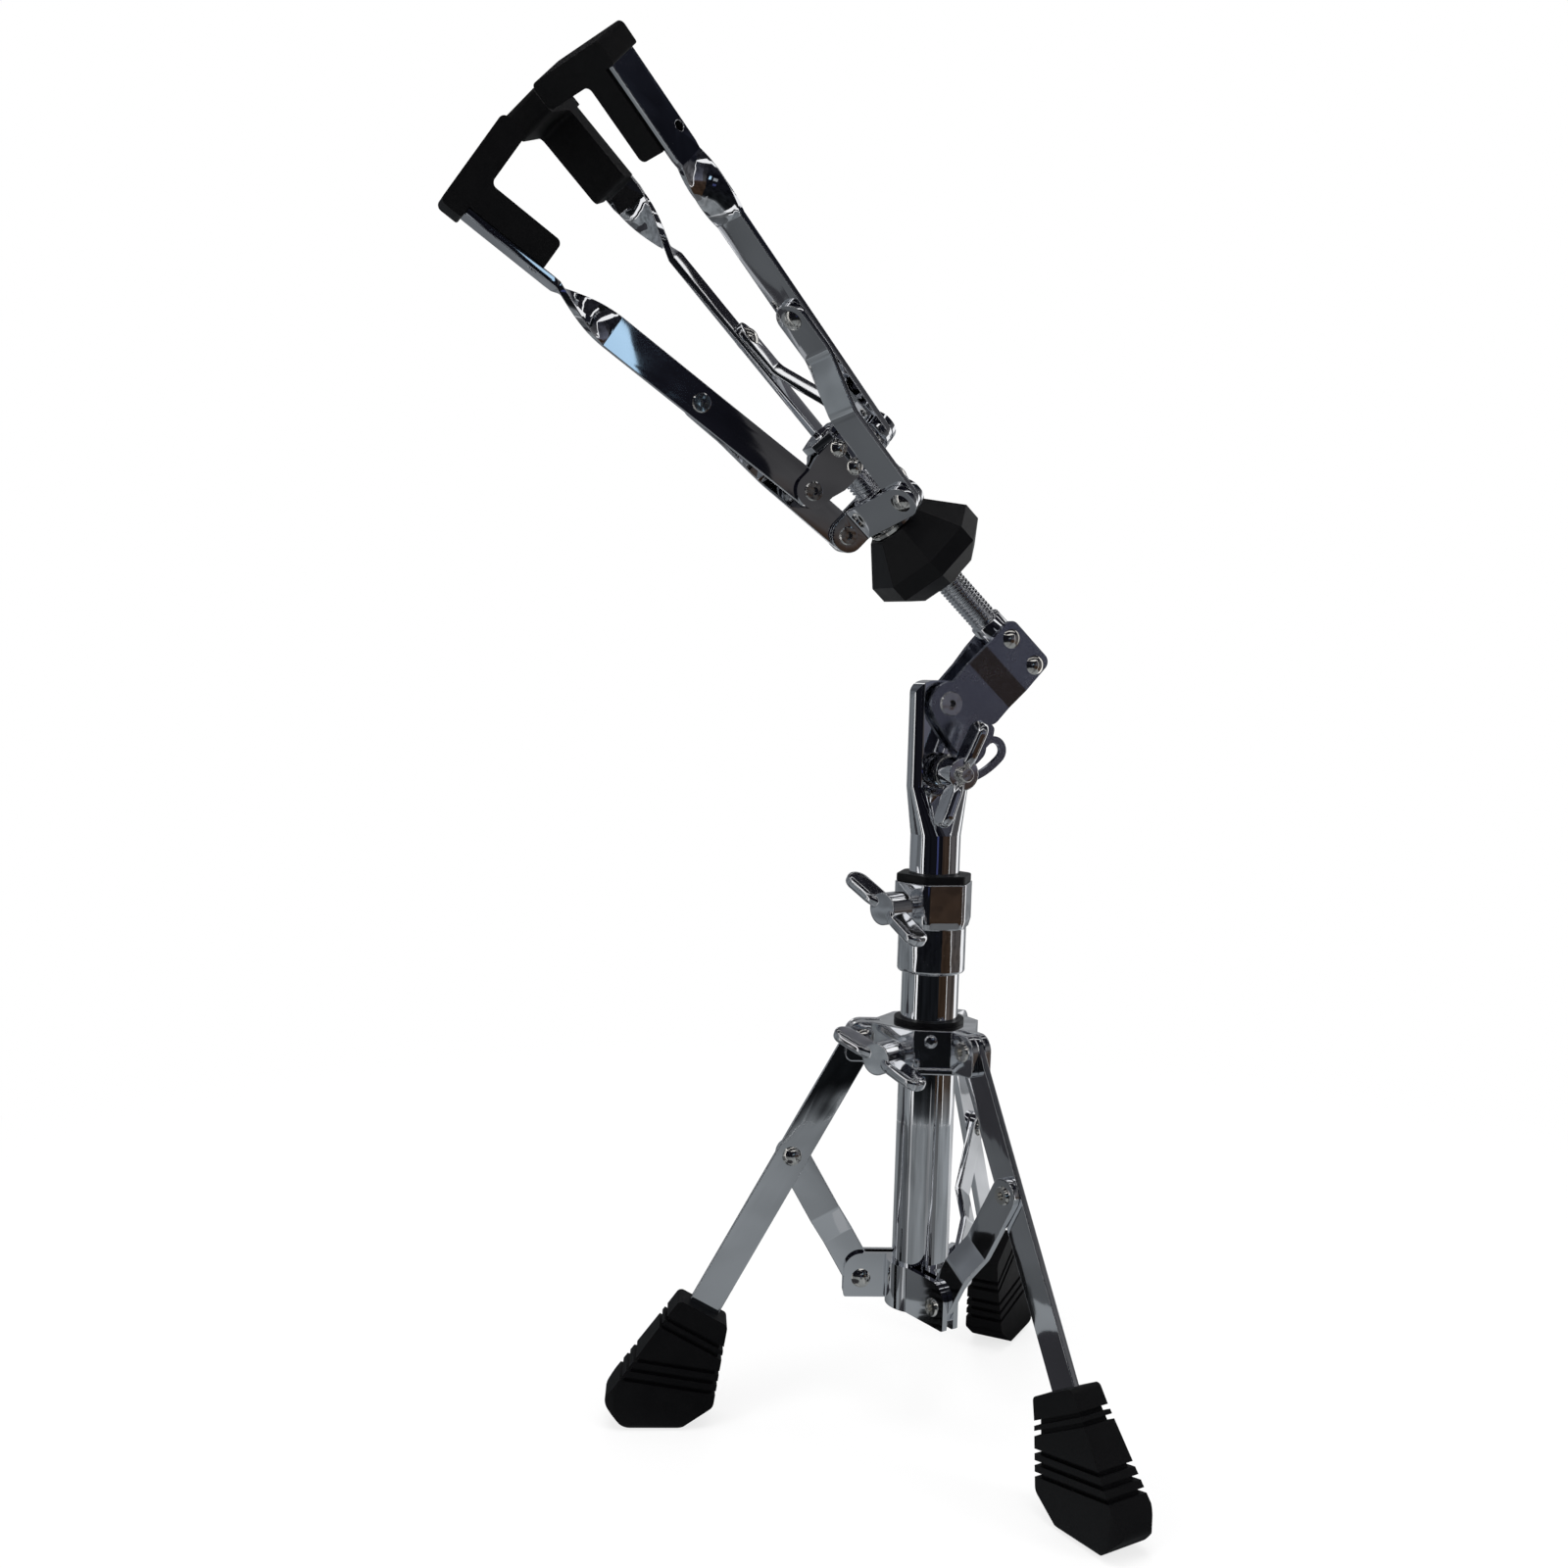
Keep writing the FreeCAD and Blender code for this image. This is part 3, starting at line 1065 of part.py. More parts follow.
nut = slab(hexagon(ROD_NUT_FLATS, 0, 0), upper_high, upper_high + ROD_NUT_H)
write("rod_nut", on_rod(nut.cut(Part.makeCylinder(ROD_R + PRESS_GAP, ROD_TOP))))
runner_apothem = RUNNER_FLAT - SHEET / 2 - PRESS_GAP
write("runner_sleeve", block(runner_apothem, ROD_R + SLIDE_FIT, runner_low, runner_high, -1))
runner_plate = bracket(RUNNER_FLAT, RUNNER_PITCH, RUNNER_S, EAR_HIGH, RUNNER_R, RUNNER_S, -1)
write("runner_plates", *[at_arm(runner_plate, k) for k in range(3)])
write("runner_pins", *[at_arm(runner_pin(), k) for k in range(3)])
washer = ring(KNOB_WASHER_R, ROD_R + SLIDE_FIT, runner_low - KNOB_WASHER_H, runner_low)
write("knob_washer", on_rod(washer))
write("knob", knob())
write("knob_insert", on_rod(ring(INSERT_R, ROD_R + THREAD_FIT, KNOB_LOW, KNOB_HIGH)))
one_arm = arm()
one_grip = grip()
one_link = link()
for k in range(3):
    write("arm_%d" % (k + 1), at_arm(one_arm, k))
    write("grip_%d" % (k + 1), at_arm(one_grip, k))
    write("arm_rivet_%d" % (k + 1), at_arm(arm_rivet(), k))
    write("link_%d" % (k + 1), at_arm(one_link, k))
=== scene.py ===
# %% [markdown]
# # A snare drum stand
# The solids of the stand come from its CAD model, already placed and sorted into bodies that
# move. This lesson loads them as a fixed frame and gives them their finishes, soft edges,
# screw threads, light and camera. Nothing here changes a size, and the finished model's box
# is printed at the end.

# %% Load the frame
import json
import math

import bpy
from mathutils import Matrix, Vector


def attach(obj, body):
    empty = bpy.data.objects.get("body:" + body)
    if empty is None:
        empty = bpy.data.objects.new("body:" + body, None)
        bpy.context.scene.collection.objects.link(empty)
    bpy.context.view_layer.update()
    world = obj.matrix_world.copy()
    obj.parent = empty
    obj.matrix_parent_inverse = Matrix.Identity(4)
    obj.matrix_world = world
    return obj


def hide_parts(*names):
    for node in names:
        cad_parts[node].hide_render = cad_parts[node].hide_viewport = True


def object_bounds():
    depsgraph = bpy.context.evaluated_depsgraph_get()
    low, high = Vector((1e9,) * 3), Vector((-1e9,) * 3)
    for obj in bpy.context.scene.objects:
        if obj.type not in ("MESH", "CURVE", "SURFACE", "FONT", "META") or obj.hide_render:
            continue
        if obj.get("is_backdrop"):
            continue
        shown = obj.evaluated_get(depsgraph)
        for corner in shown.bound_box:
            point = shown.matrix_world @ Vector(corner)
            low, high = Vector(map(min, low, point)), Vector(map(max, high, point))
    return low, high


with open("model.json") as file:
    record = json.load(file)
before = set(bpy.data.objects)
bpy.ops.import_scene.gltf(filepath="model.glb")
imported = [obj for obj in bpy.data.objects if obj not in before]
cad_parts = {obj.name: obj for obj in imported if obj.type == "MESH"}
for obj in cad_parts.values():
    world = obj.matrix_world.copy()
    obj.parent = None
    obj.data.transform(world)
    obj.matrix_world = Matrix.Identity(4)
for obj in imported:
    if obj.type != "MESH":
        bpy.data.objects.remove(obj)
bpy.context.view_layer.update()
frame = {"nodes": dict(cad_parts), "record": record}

nodes = frame["nodes"]

# %% [markdown]
# ## The camera
# A camera can be placed by eye or worked out from the picture. This one was worked out:
# the rivets, tubes and feet give its place, turn and lens. Its three directions are set as
# the columns of one matrix, which avoids any doubt about the order of turns.

# %% Camera
CAMERA_PLACE = Vector((-0.34398, -0.65898, 0.34317))
CAMERA_YAW = math.radians(-22.35)
CAMERA_PITCH = math.radians(-4.31)
CAMERA_ROLL = math.radians(1.73)
CAMERA_LENS, CAMERA_SENSOR = 38.68, 36
CAMERA_CLIP = 0.01

ahead = Vector((-math.sin(CAMERA_YAW) * math.cos(CAMERA_PITCH),
                math.cos(CAMERA_YAW) * math.cos(CAMERA_PITCH), math.sin(CAMERA_PITCH)))
level = Vector((math.cos(CAMERA_YAW), math.sin(CAMERA_YAW), 0))
upward = level.cross(ahead)
right = level * math.cos(CAMERA_ROLL) + upward * math.sin(CAMERA_ROLL)
above = upward * math.cos(CAMERA_ROLL) - level * math.sin(CAMERA_ROLL)
lens = bpy.data.cameras.new("camera")
lens.sensor_width = CAMERA_SENSOR
lens.lens = CAMERA_LENS
lens.clip_start = CAMERA_CLIP
camera = bpy.data.objects.new("camera", lens)
turn = Matrix((right, above, -ahead)).transposed().to_4x4()
camera.matrix_world = Matrix.Translation(CAMERA_PLACE) @ turn
bpy.context.scene.collection.objects.link(camera)
bpy.context.scene.camera = camera
bpy.context.scene.view_settings.view_transform = "Standard"
print("camera lens", lens.lens, "mm at", [round(v, 3) for v in CAMERA_PLACE])

# %% [markdown]
# ## A white studio
# The stand is shown on plain white. The world could be one white light, but then everything
# would be lit from all sides and look flat. So the world is white only to the camera and in
# mirrors, and sends a dimmer fill to matt surfaces. The floor is white in the same way, and
# keeps a soft shadow under the boots.

# %% Helpers for node trees
def node(tree, kind, **inputs):
    """Add a shader node and set its unlinked sockets by name."""
    made = tree.nodes.new(kind)
    for name, value in inputs.items():
        made.inputs[name.replace("_", " ")].default_value = value
    return made


def combine(tree, operation, first, second, clamp=False):
    """One shader value from two, such as their sum; clamp holds it between 0 and 1."""
    made = node(tree, "ShaderNodeMath")
    made.operation = operation
    made.use_clamp = clamp
    tree.links.new(first, made.inputs[0])
    tree.links.new(second, made.inputs[1])
    return made.outputs[0]


def distance(tree, place):
    """How far a place is from the middle, as a shader value."""
    made = node(tree, "ShaderNodeVectorMath")
    made.operation = "LENGTH"
    tree.links.new(place, made.inputs[0])
    return made.outputs["Value"]


# %% Helpers for mixing what rays see
def seen_directly(tree):
    """1 for rays from the camera and for rays in mirrors and glass."""
    rays = node(tree, "ShaderNodeLightPath").outputs
    mirrored = combine(tree, "ADD", rays["Is Glossy Ray"], rays["Is Transmission Ray"], clamp=True)
    return combine(tree, "ADD", rays["Is Camera Ray"], mirrored, clamp=True)


def mixed(tree, share, first, second):
    """Two shaders mixed: the first where the share is 0, the second where it is 1."""
    made = node(tree, "ShaderNodeMixShader")
    for i, output in enumerate((share, first, second)):
        tree.links.new(output, made.inputs[i])
    return made.outputs[0]


# %% World
WHITE = (1, 1, 1, 1)
WORLD_FILL = 0.55
world = bpy.data.worlds.new("studio")
bpy.context.scene.world = world
world.use_nodes = True
sky = world.node_tree
sky.nodes.clear()
fill = node(sky, "ShaderNodeBackground", Color=WHITE, Strength=WORLD_FILL)
plain = node(sky, "ShaderNodeBackground", Color=WHITE, Strength=1.0)
both = mixed(sky, seen_directly(sky), fill.outputs[0], plain.outputs[0])
sky.links.new(both, node(sky, "ShaderNodeOutputWorld").inputs["Surface"])
print("world fill", WORLD_FILL)

# %% Helpers for the studio's meshes and paints
def stage_mesh(name, points, faces, material):
    """A mesh that belongs to the studio and not to the stand."""
    mesh = bpy.data.meshes.new(name)
    mesh.from_pydata(points, [], faces)
    mesh.materials.append(material)
    made = bpy.data.objects.new(name, mesh)
    bpy.context.scene.collection.objects.link(made)
    made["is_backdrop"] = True
    return made


def blank_paint(name):
    """A material with an empty node tree, and that tree."""
    made = bpy.data.materials.new(name)
    made.use_nodes = True
    made.node_tree.nodes.clear()
    return made, made.node_tree


def close(tree, shader):
    """Lead a shader to the end of a material's tree."""
    tree.links.new(shader, node(tree, "ShaderNodeOutputMaterial").inputs["Surface"])


# %% Floor
FLOOR_REACH = 6.0
FLOOR_DROP = 0.0003
FLOOR_GREY = (0.85, 0.85, 0.85, 1)
FLOOR_SHADOW = 0.25
SHADOW_NEAR, SHADOW_FAR = 0.2, 0.75
floor_paint, tree = blank_paint("white_floor")
matt = node(tree, "ShaderNodeBsdfDiffuse", Color=FLOOR_GREY)
glow = node(tree, "ShaderNodeEmission", Color=WHITE, Strength=1.0)
away = distance(tree, node(tree, "ShaderNodeTexCoord").outputs["Object"])
fade = node(tree, "ShaderNodeMapRange", From_Min=SHADOW_NEAR, From_Max=SHADOW_FAR,
            To_Min=1 - FLOOR_SHADOW)
tree.links.new(away, fade.inputs["Value"])
share = combine(tree, "MULTIPLY", seen_directly(tree), fade.outputs[0])
close(tree, mixed(tree, share, matt.outputs[0], glow.outputs[0]))
corners = [(x * FLOOR_REACH, y * FLOOR_REACH, -FLOOR_DROP)
           for x, y in ((-1, -1), (1, -1), (1, 1), (-1, 1))]
stage_mesh("floor", corners, [(0, 1, 2, 3)], floor_paint)
print("floor", 2 * FLOOR_REACH, "m wide")

# %% [markdown]
# ## Dark cards for the chrome
# Chrome has no colour of its own: it shows the room. In a white room it would vanish, so a
# photographer stands dark cards round it, and the plate then shows deep tones with bright
# gaps between them. These cards make a round room: each has a strip of floor and a wall, and
# a slatted ceiling closes it, with light between the slats. Faint blotches keep each card from
# looking painted. Only mirrors see the cards: they light nothing and throw no shadow.

# %% Where a point is along a card
def along_card(tree, place):
    """The way to a point over a card's floor and up its wall: distance from the middle, plus height."""
    split = node(tree, "ShaderNodeSeparateXYZ")
    tree.links.new(place, split.inputs[0])
    level_place = node(tree, "ShaderNodeVectorMath")
    level_place.operation = "MULTIPLY"
    level_place.inputs[1].default_value = (1, 1, 0)
    tree.links.new(place, level_place.inputs[0])
    return combine(tree, "ADD", split.outputs["Z"], distance(tree, level_place.outputs[0]))


def noise(tree, place, size, **inputs):
    """A soft cloud of noise whose lumps have about this size."""
    made = node(tree, "ShaderNodeTexNoise", Scale=1 / size, **inputs)
    tree.links.new(place, made.inputs["Vector"])
    return made.outputs["Fac"]


# %% Card paint
CARD_RADIUS = 1.7
BLOTCH_SIZE, BLOTCH_DETAIL = 0.28, 3.0
BLOTCH_LOW, BLOTCH_HIGH = 0.35, 0.65


def card_paint(name, stops, blotch):
    """A card whose colour runs over its floor and up its wall, and drifts in blotches.

    The stops are (metres, colour), measured from the wall's foot: below zero is floor.
    """
    made, tree = blank_paint(name)
    place = node(tree, "ShaderNodeTexCoord").outputs["Object"]
    low, high = stops[0][0], stops[-1][0]
    along = node(tree, "ShaderNodeMapRange", From_Min=CARD_RADIUS + low, From_Max=CARD_RADIUS + high)
    tree.links.new(along_card(tree, place), along.inputs["Value"])
    ramp = node(tree, "ShaderNodeValToRGB")
    marks = ramp.color_ramp.elements
    while len(marks) < len(stops):
        marks.new(0.5)
    for mark, (metres, colour) in zip(marks, stops):
        mark.position = (metres - low) / (high - low)
        mark.color = (*colour, 1)
    tree.links.new(along.outputs[0], ramp.inputs[0])
    drift = node(tree, "ShaderNodeMapRange", From_Min=BLOTCH_LOW, From_Max=BLOTCH_HIGH,
                 To_Min=1 - blotch, To_Max=1 + blotch)
    tree.links.new(noise(tree, place, BLOTCH_SIZE, Detail=BLOTCH_DETAIL), drift.inputs["Value"])
    glow = node(tree, "ShaderNodeEmission")
    tree.links.new(ramp.outputs["Color"], glow.inputs["Color"])
    tree.links.new(drift.outputs[0], glow.inputs["Strength"])
    close(tree, glow.outputs[0])
    return made


def even_paint(name, colour, blotch):
    """A card of one colour, with its blotches."""
    return card_paint(name, [(0, colour), (1, colour)], blotch)


# %% Paints of the round room
CARD_TOP = 1.45
NEAR_RADIUS = 0.5
NEAR_EDGE = NEAR_RADIUS - CARD_RADIUS
NEAR_GREY = (0.215, 0.23, 0.24)
BROWN_FLOOR, BROWN_WALL = (0.033, 0.020, 0.012), (0.036, 0.024, 0.018)
front_paint = card_paint("front_card", [
    (NEAR_EDGE, NEAR_GREY), (-1.15, (0.040, 0.043, 0.047)), (-1.09, (0.007, 0.008, 0.009)),
    (0.6, (0.005, 0.005, 0.008)), (CARD_TOP, (0.014, 0.015, 0.020))], 0.5)
left_paint = card_paint("left_card", [
    (NEAR_EDGE, NEAR_GREY), (-0.8, (0.165, 0.18, 0.19)), (0.7, (0.145, 0.155, 0.17)),
    (CARD_TOP, (0.03, 0.032, 0.04))], 0.35)
corner_paint = card_paint("corner_card", [
    (NEAR_EDGE, NEAR_GREY), (-1.12, BROWN_FLOOR), (0.14, BROWN_WALL), (0.26, (0.055, 0.054, 0.056)),
    (0.75, (0.02, 0.02, 0.024)), (CARD_TOP, (0.014, 0.015, 0.020))], 0.35)
brown_paint = card_paint("brown_card", [
    (NEAR_EDGE, NEAR_GREY), (-1.12, BROWN_FLOOR), (0.14, BROWN_WALL), (0.26, (0.11, 0.115, 0.15)),
    (0.75, (0.05, 0.052, 0.065)), (CARD_TOP, (0.020, 0.021, 0.028))], 0.35)
right_paint = card_paint("right_card", [
    (NEAR_EDGE, NEAR_GREY), (-1.08, (0.060, 0.045, 0.036)), (0.6, (0.10, 0.10, 0.105)),
    (CARD_TOP, (0.009, 0.010, 0.015))], 0.45)
back_paint = card_paint("back_card", [
    (0, (0.22, 0.23, 0.24)), (0.6, (0.30, 0.31, 0.32)), (CARD_TOP, (0.06, 0.06, 0.07))], 0.3)
print("wall paints reach", CARD_TOP, "m up")

# %% Helpers for placing cards
CAMERA_SIDE = math.atan2(CAMERA_PLACE.y, CAMERA_PLACE.x)


def around(degrees, radius, height):
    """A point round the stand; the angle is counted from the camera's side."""
    a = CAMERA_SIDE + math.radians(degrees)
    return (radius * math.cos(a), radius * math.sin(a), height)


def only_in_mirrors(card):
    """Hide a card from the camera and from the light that falls on the stand."""
    card.visible_camera = False
    card.visible_diffuse = False
    card.visible_shadow = False
    card.visible_transmission = False


# %% Floor and wall cards
CEILING = 1.9
CARD_STEP = 5
CARD_LIFT = 0.0004
# name, from and to in degrees round the stand, top of the wall, paint
CARDS = [("card_left_edge", -62, -57, CARD_TOP, front_paint),
         ("card_front", -50, 36, CARD_TOP, front_paint),
         ("card_corner", 36, 47, CARD_TOP, corner_paint),
         ("card_brown", 47, 70, CARD_TOP, brown_paint),
         ("card_right", 72, 116, CEILING, right_paint),
         ("card_back", 138, 196, CARD_TOP, back_paint),
         ("card_left", 200, 296, CARD_TOP, left_paint)]
for name, start, stop, top, paint in CARDS:
    points = []
    faces = []
    steps = max(1, round((stop - start) / CARD_STEP))
    for i in range(steps + 1):
        degrees = start + (stop - start) * i / steps
        points += [around(degrees, NEAR_RADIUS, CARD_LIFT), around(degrees, CARD_RADIUS, CARD_LIFT),
                   around(degrees, CARD_RADIUS, top)]
        if i:
            k = 3 * i
            faces += [(k - 3, k, k + 1, k - 2), (k - 2, k + 1, k + 2, k - 1)]
    only_in_mirrors(stage_mesh(name, points, faces, paint))
print("cards", len(CARDS))

# %% [markdown]
# ## Panes in the front wall
# The arms and tubes of the real stand have small bright and blue glints, where the chrome
# shows a lit pane of the room. A glint could be painted on the metal, but then it would stay
# put when the arm moves. A pane that hangs just inside the front wall gives a true reflection.

# %% Three panes
PANE_REACH = 1.68
DUSK_BLUE = (0.045, 0.055, 0.15)
pane_paint = card_paint("window_card", [(0, (0.42, 0.66, 0.90)), (1, (0.55, 0.75, 0.92))], 0.1)
screen_paint = card_paint("screen_card", [(0, (0.26, 0.28, 0.30)), (1, (0.34, 0.36, 0.38))], 0.2)
dusk_paint = even_paint("dusk_card", DUSK_BLUE, 0.3)
# name, from and to in degrees round the stand, foot, top, paint
PANES = [("card_window", 24.5, 29.4, 0.37, 0.60, pane_paint),
         ("card_screen", 9.0, 20.0, 0.34, 0.52, screen_paint),
         ("card_dusk", 10.0, 17.0, 0.01, 0.15, dusk_paint)]
for name, start, stop, low, high, paint in PANES:
    points = [around(start, PANE_REACH, low), around(stop, PANE_REACH, low),
              around(stop, PANE_REACH, high), around(start, PANE_REACH, high)]
    only_in_mirrors(stage_mesh(name, points, [(0, 1, 2, 3)], paint))
print("panes", len(PANES))

# %% [markdown]
# ## The floor as the chrome sees it
# Legs, braces and the lower tube lean or stand so that they mostly mirror the floor near the
# boots. If that were one even grey they would look like grey plastic. So a grey disc lies
# there with darker patches on it, and with narrow strips that point at the stand: in a
# round tube such a strip turns into a long streak. They lie in thin layers over each other.

# %% Discs round the boots
DISC_STEP = 10
DIM_SIDE, DIM_REACH, DIM_RADIUS = -94, 0.36, 0.2
SHADE_AZIMUTHS = (198, 41)
SHADE_REACH, SHADE_RADIUS = 0.115, 0.055
DIM_LIFT, STRIP_LIFT, SHADE_LIFT = 2 * CARD_LIFT, 2.5 * CARD_LIFT, 3 * CARD_LIFT
DIM_GREY, SHADE_GREY = (0.075, 0.08, 0.085), (0.03, 0.03, 0.034)


def flat_disc(name, place, radius, height, paint):
    """A flat round card that lies over the floor."""
    points = []
    for degrees in range(0, 360, DISC_STEP):
        a = math.radians(degrees)
        points.append((place[0] + radius * math.cos(a), place[1] + radius * math.sin(a), height))
    only_in_mirrors(stage_mesh(name, points, [tuple(range(len(points)))], paint))


flat_disc("card_floor", (0, 0), NEAR_RADIUS, CARD_LIFT, even_paint("floor_card", NEAR_GREY, 0.35))
dim_paint = even_paint("dim_card", DIM_GREY, 0.35)
flat_disc("card_dim", around(DIM_SIDE, DIM_REACH, 0), DIM_RADIUS, DIM_LIFT, dim_paint)
shade_paint = even_paint("shade_card", SHADE_GREY, 0.3)
for i, degrees in enumerate(SHADE_AZIMUTHS):
    a = math.radians(degrees)
    place = (SHADE_REACH * math.cos(a), SHADE_REACH * math.sin(a))
    flat_disc("card_shade_%d" % (i + 1), place, SHADE_RADIUS, SHADE_LIFT, shade_paint)
print("floor discs", 2 + len(SHADE_AZIMUTHS))

# %% Strips on the floor, for streaks along the tubes
STRIP_POINT = 0.12
SOFT_GREY = (0.12, 0.125, 0.13)
# from and to in degrees round the stand, near and far end, colour
STRIPS = [(15, 25, 0.03, 0.5, (0.28, 0.29, 0.30)),
          (34, 58, 0.03, 0.5, SOFT_GREY),
          (-66, -57, 0.03, 0.5, SOFT_GREY),
          (-106, -88, 0.46, 0.95, SHADE_GREY),
          (125, 165, 0.03, 0.5, (0.55, 0.56, 0.57)),
          (-57, -51, 0.03, 0.5, (0.5, 0.51, 0.52))]
for i, (start, stop, near, far, colour) in enumerate(STRIPS):
    name = "card_strip_%d" % (i + 1)
    tip = ((start + stop) / 2, far + STRIP_POINT)
    outline = [(start, near), (start, far), tip, (stop, far), (stop, near)]
    points = [around(degrees, reach, STRIP_LIFT) for degrees, reach in outline]
    only_in_mirrors(stage_mesh(name, points, [(0, 1, 2, 3, 4)], even_paint(name, colour, 0.3)))
print("strips", len(STRIPS))

# %% [markdown]
# ## The ceiling in the chrome
# Faces that look up would show the bare white world and lose their shape. Dark slats close
# the room above, and the slits between them leave thin bright lines on domes and wings.

# %% Slatted ceiling
SLAT, SLIT = 0.95, 0.14
slat_paint = even_paint("slat_card", (0.014, 0.014, 0.018), 0.4)
points = []
faces = []
across = -CARD_RADIUS
while across < CARD_RADIUS:
    k = len(points)
    points += [(-CARD_RADIUS, across, CEILING), (CARD_RADIUS, across, CEILING),
               (CARD_RADIUS, across + SLAT, CEILING), (-CARD_RADIUS, across + SLAT, CEILING)]
    faces.append((k, k + 1, k + 2, k + 3))
    across += SLAT + SLIT
only_in_mirrors(stage_mesh("card_ceiling", points, faces, slat_paint))
print("slats", len(faces))

# %% [markdown]
# ## Lamps
# One large lamp overhead gives the soft main light, as a shop's light tent does. Weaker ones
# from the sides keep the black rubber from going flat. Large lamps give soft shadows. Mirrors
# do not see them: there the light is in the gaps between the cards.

# %% Lamps
LAMP_AIM = Vector((-0.05, 0, 0.3))
# name, place, width and height, power in watts
LAMPS = [("overhead", (-0.2, -0.3, 2.0), (1.2, 1.2), 20),
         ("left_window", (-1.5, -0.6, 0.9), (0.6, 1.2), 14),
         ("right_window", (1.0, -1.3, 0.8), (0.5, 1.1), 12),
         ("back_window", (0.6, 1.6, 1.0), (0.8, 0.8), 10)]
for name, place, size, power in LAMPS:
    light = bpy.data.lights.new(name, "AREA")
    light.shape = "RECTANGLE"
    light.size, light.size_y = size
    light.energy = power
    lamp = bpy.data.objects.new(name, light)
    lamp.location = place
    lamp.rotation_mode = "QUATERNION"
    lamp.rotation_quaternion = (LAMP_AIM - Vector(place)).to_track_quat("-Z", "Y")
    lamp.visible_glossy = False
    bpy.context.scene.collection.objects.link(lamp)
print("lamps", [name for name, _, _, _ in LAMPS])

# %% [markdown]
# ## Finishes
# Bright chrome is a metal with very little roughness. Even so it is never perfect: a faint
# cloud of wiping marks changes the roughness, and strips and castings show a slight waviness
# under the plate. The castings also turn softly over their edges, and there the finish bends
# the normals near each edge. Rubber and plastic are dark, with a fine grain in the bump. Each
# finish is a small node tree, so it has no flat colour and needs no picture.

# %% Cloud, waves and grain
CLOUD_DETAIL, CLOUD_ROUGH = 5.0, 0.65
WAVE_DETAIL, GRAIN_DETAIL = 1.0, 3.0
EDGE_SAMPLES = 8
MIX_FIRST, MIX_SECOND, MIX_RESULT = 6, 7, 2


def blend(tree, share, first, second):
    """A colour between two, by the share of the second."""
    made = node(tree, "ShaderNodeMix")
    made.data_type = "RGBA"
    made.inputs[MIX_FIRST].default_value = (*first, 1)
    made.inputs[MIX_SECOND].default_value = (*second, 1)
    tree.links.new(share, made.inputs[0])
    return made.outputs[MIX_RESULT]


def bump(tree, height, depth, normal=None):
    """Normals bent by a height, over the normals given."""
    made = node(tree, "ShaderNodeBump", Strength=1.0, Distance=depth)
    tree.links.new(height, made.inputs["Height"])
    if normal is not None:
        tree.links.new(normal, made.inputs["Normal"])
    return made.outputs[0]


def rounded(tree, radius):
    """Normals that turn softly over the edges."""
    made = node(tree, "ShaderNodeBevel", Radius=radius)
    made.samples = EDGE_SAMPLES
    return made.outputs[0]


# %% A finish from noise
def finish(name, colour, dark, metallic, rough, cloud, wave, grain, sheen=0.5, soft_edge=None):
    """A surface whose colour and roughness drift with a cloud, with waves and grain in its bump.

    rough is (middle, spread), cloud a size, wave and grain are (depth, size).
    """
    made = bpy.data.materials.new(name)
    made.use_nodes = True
    tree = made.node_tree
    shader = tree.nodes["Principled BSDF"]
    shader.inputs["Metallic"].default_value = metallic
    shader.inputs["Specular IOR Level"].default_value = sheen
    place = node(tree, "ShaderNodeTexCoord").outputs["Object"]
    marks = noise(tree, place, cloud, Detail=CLOUD_DETAIL, Roughness=CLOUD_ROUGH)
    tree.links.new(blend(tree, marks, dark, colour), shader.inputs["Base Color"])
    span = node(tree, "ShaderNodeMapRange", To_Min=rough[0] - rough[1], To_Max=rough[0] + rough[1])
    tree.links.new(marks, span.inputs["Value"])
    tree.links.new(span.outputs[0], shader.inputs["Roughness"])
    edges = rounded(tree, soft_edge) if soft_edge else None
    swell = bump(tree, noise(tree, place, wave[1], Detail=WAVE_DETAIL), wave[0], edges)
    press = bump(tree, noise(tree, place, grain[1], Detail=GRAIN_DETAIL), grain[0], swell)
    tree.links.new(press, shader.inputs["Normal"])
    return made


# %% The stand's finishes
chrome = finish("bright_chrome", (0.86, 0.87, 0.89), (0.79, 0.80, 0.83), metallic=1.0, rough=(0.045, 0.025),
                cloud=0.03, wave=(0.0004, 0.03), grain=(0.000001, 0.0015))
casting = finish("chromed_casting", (0.86, 0.87, 0.89), (0.78, 0.79, 0.82), metallic=1.0, rough=(0.07, 0.04),
                 cloud=0.015, wave=(0.0003, 0.012), grain=(0.000003, 0.0012), soft_edge=0.0009)
pressing = finish("tilter_plate", (0.50, 0.52, 0.60), (0.38, 0.40, 0.47), metallic=1.0, rough=(0.26, 0.07),
                  cloud=0.012, wave=(0.0002, 0.02), grain=(0.000006, 0.0006))
riveting = finish("rivet_steel", (0.92, 0.90, 0.86), (0.76, 0.74, 0.70), metallic=1.0, rough=(0.13, 0.06),
                  cloud=0.004, wave=(0.0002, 0.004), grain=(0.000006, 0.0006))
rubber = finish("black_rubber", (0.0026, 0.0026, 0.0030), (0.0010, 0.0010, 0.0013), metallic=0.0,
                rough=(0.62, 0.12), cloud=0.010, wave=(0.0002, 0.02), grain=(0.00006, 0.0005), sheen=0.25)
plastic = finish("black_plastic", (0.0026, 0.0027, 0.0032), (0.0012, 0.0012, 0.0016), metallic=0.0,
                 rough=(0.42, 0.08), cloud=0.012, wave=(0.0002, 0.02), grain=(0.00003, 0.0006), sheen=0.25)
by_slot = {"chrome": chrome, "chrome_casting": casting, "tilter_steel": pressing,
           "rivet_steel": riveting, "black_rubber": rubber, "black_plastic": plastic}
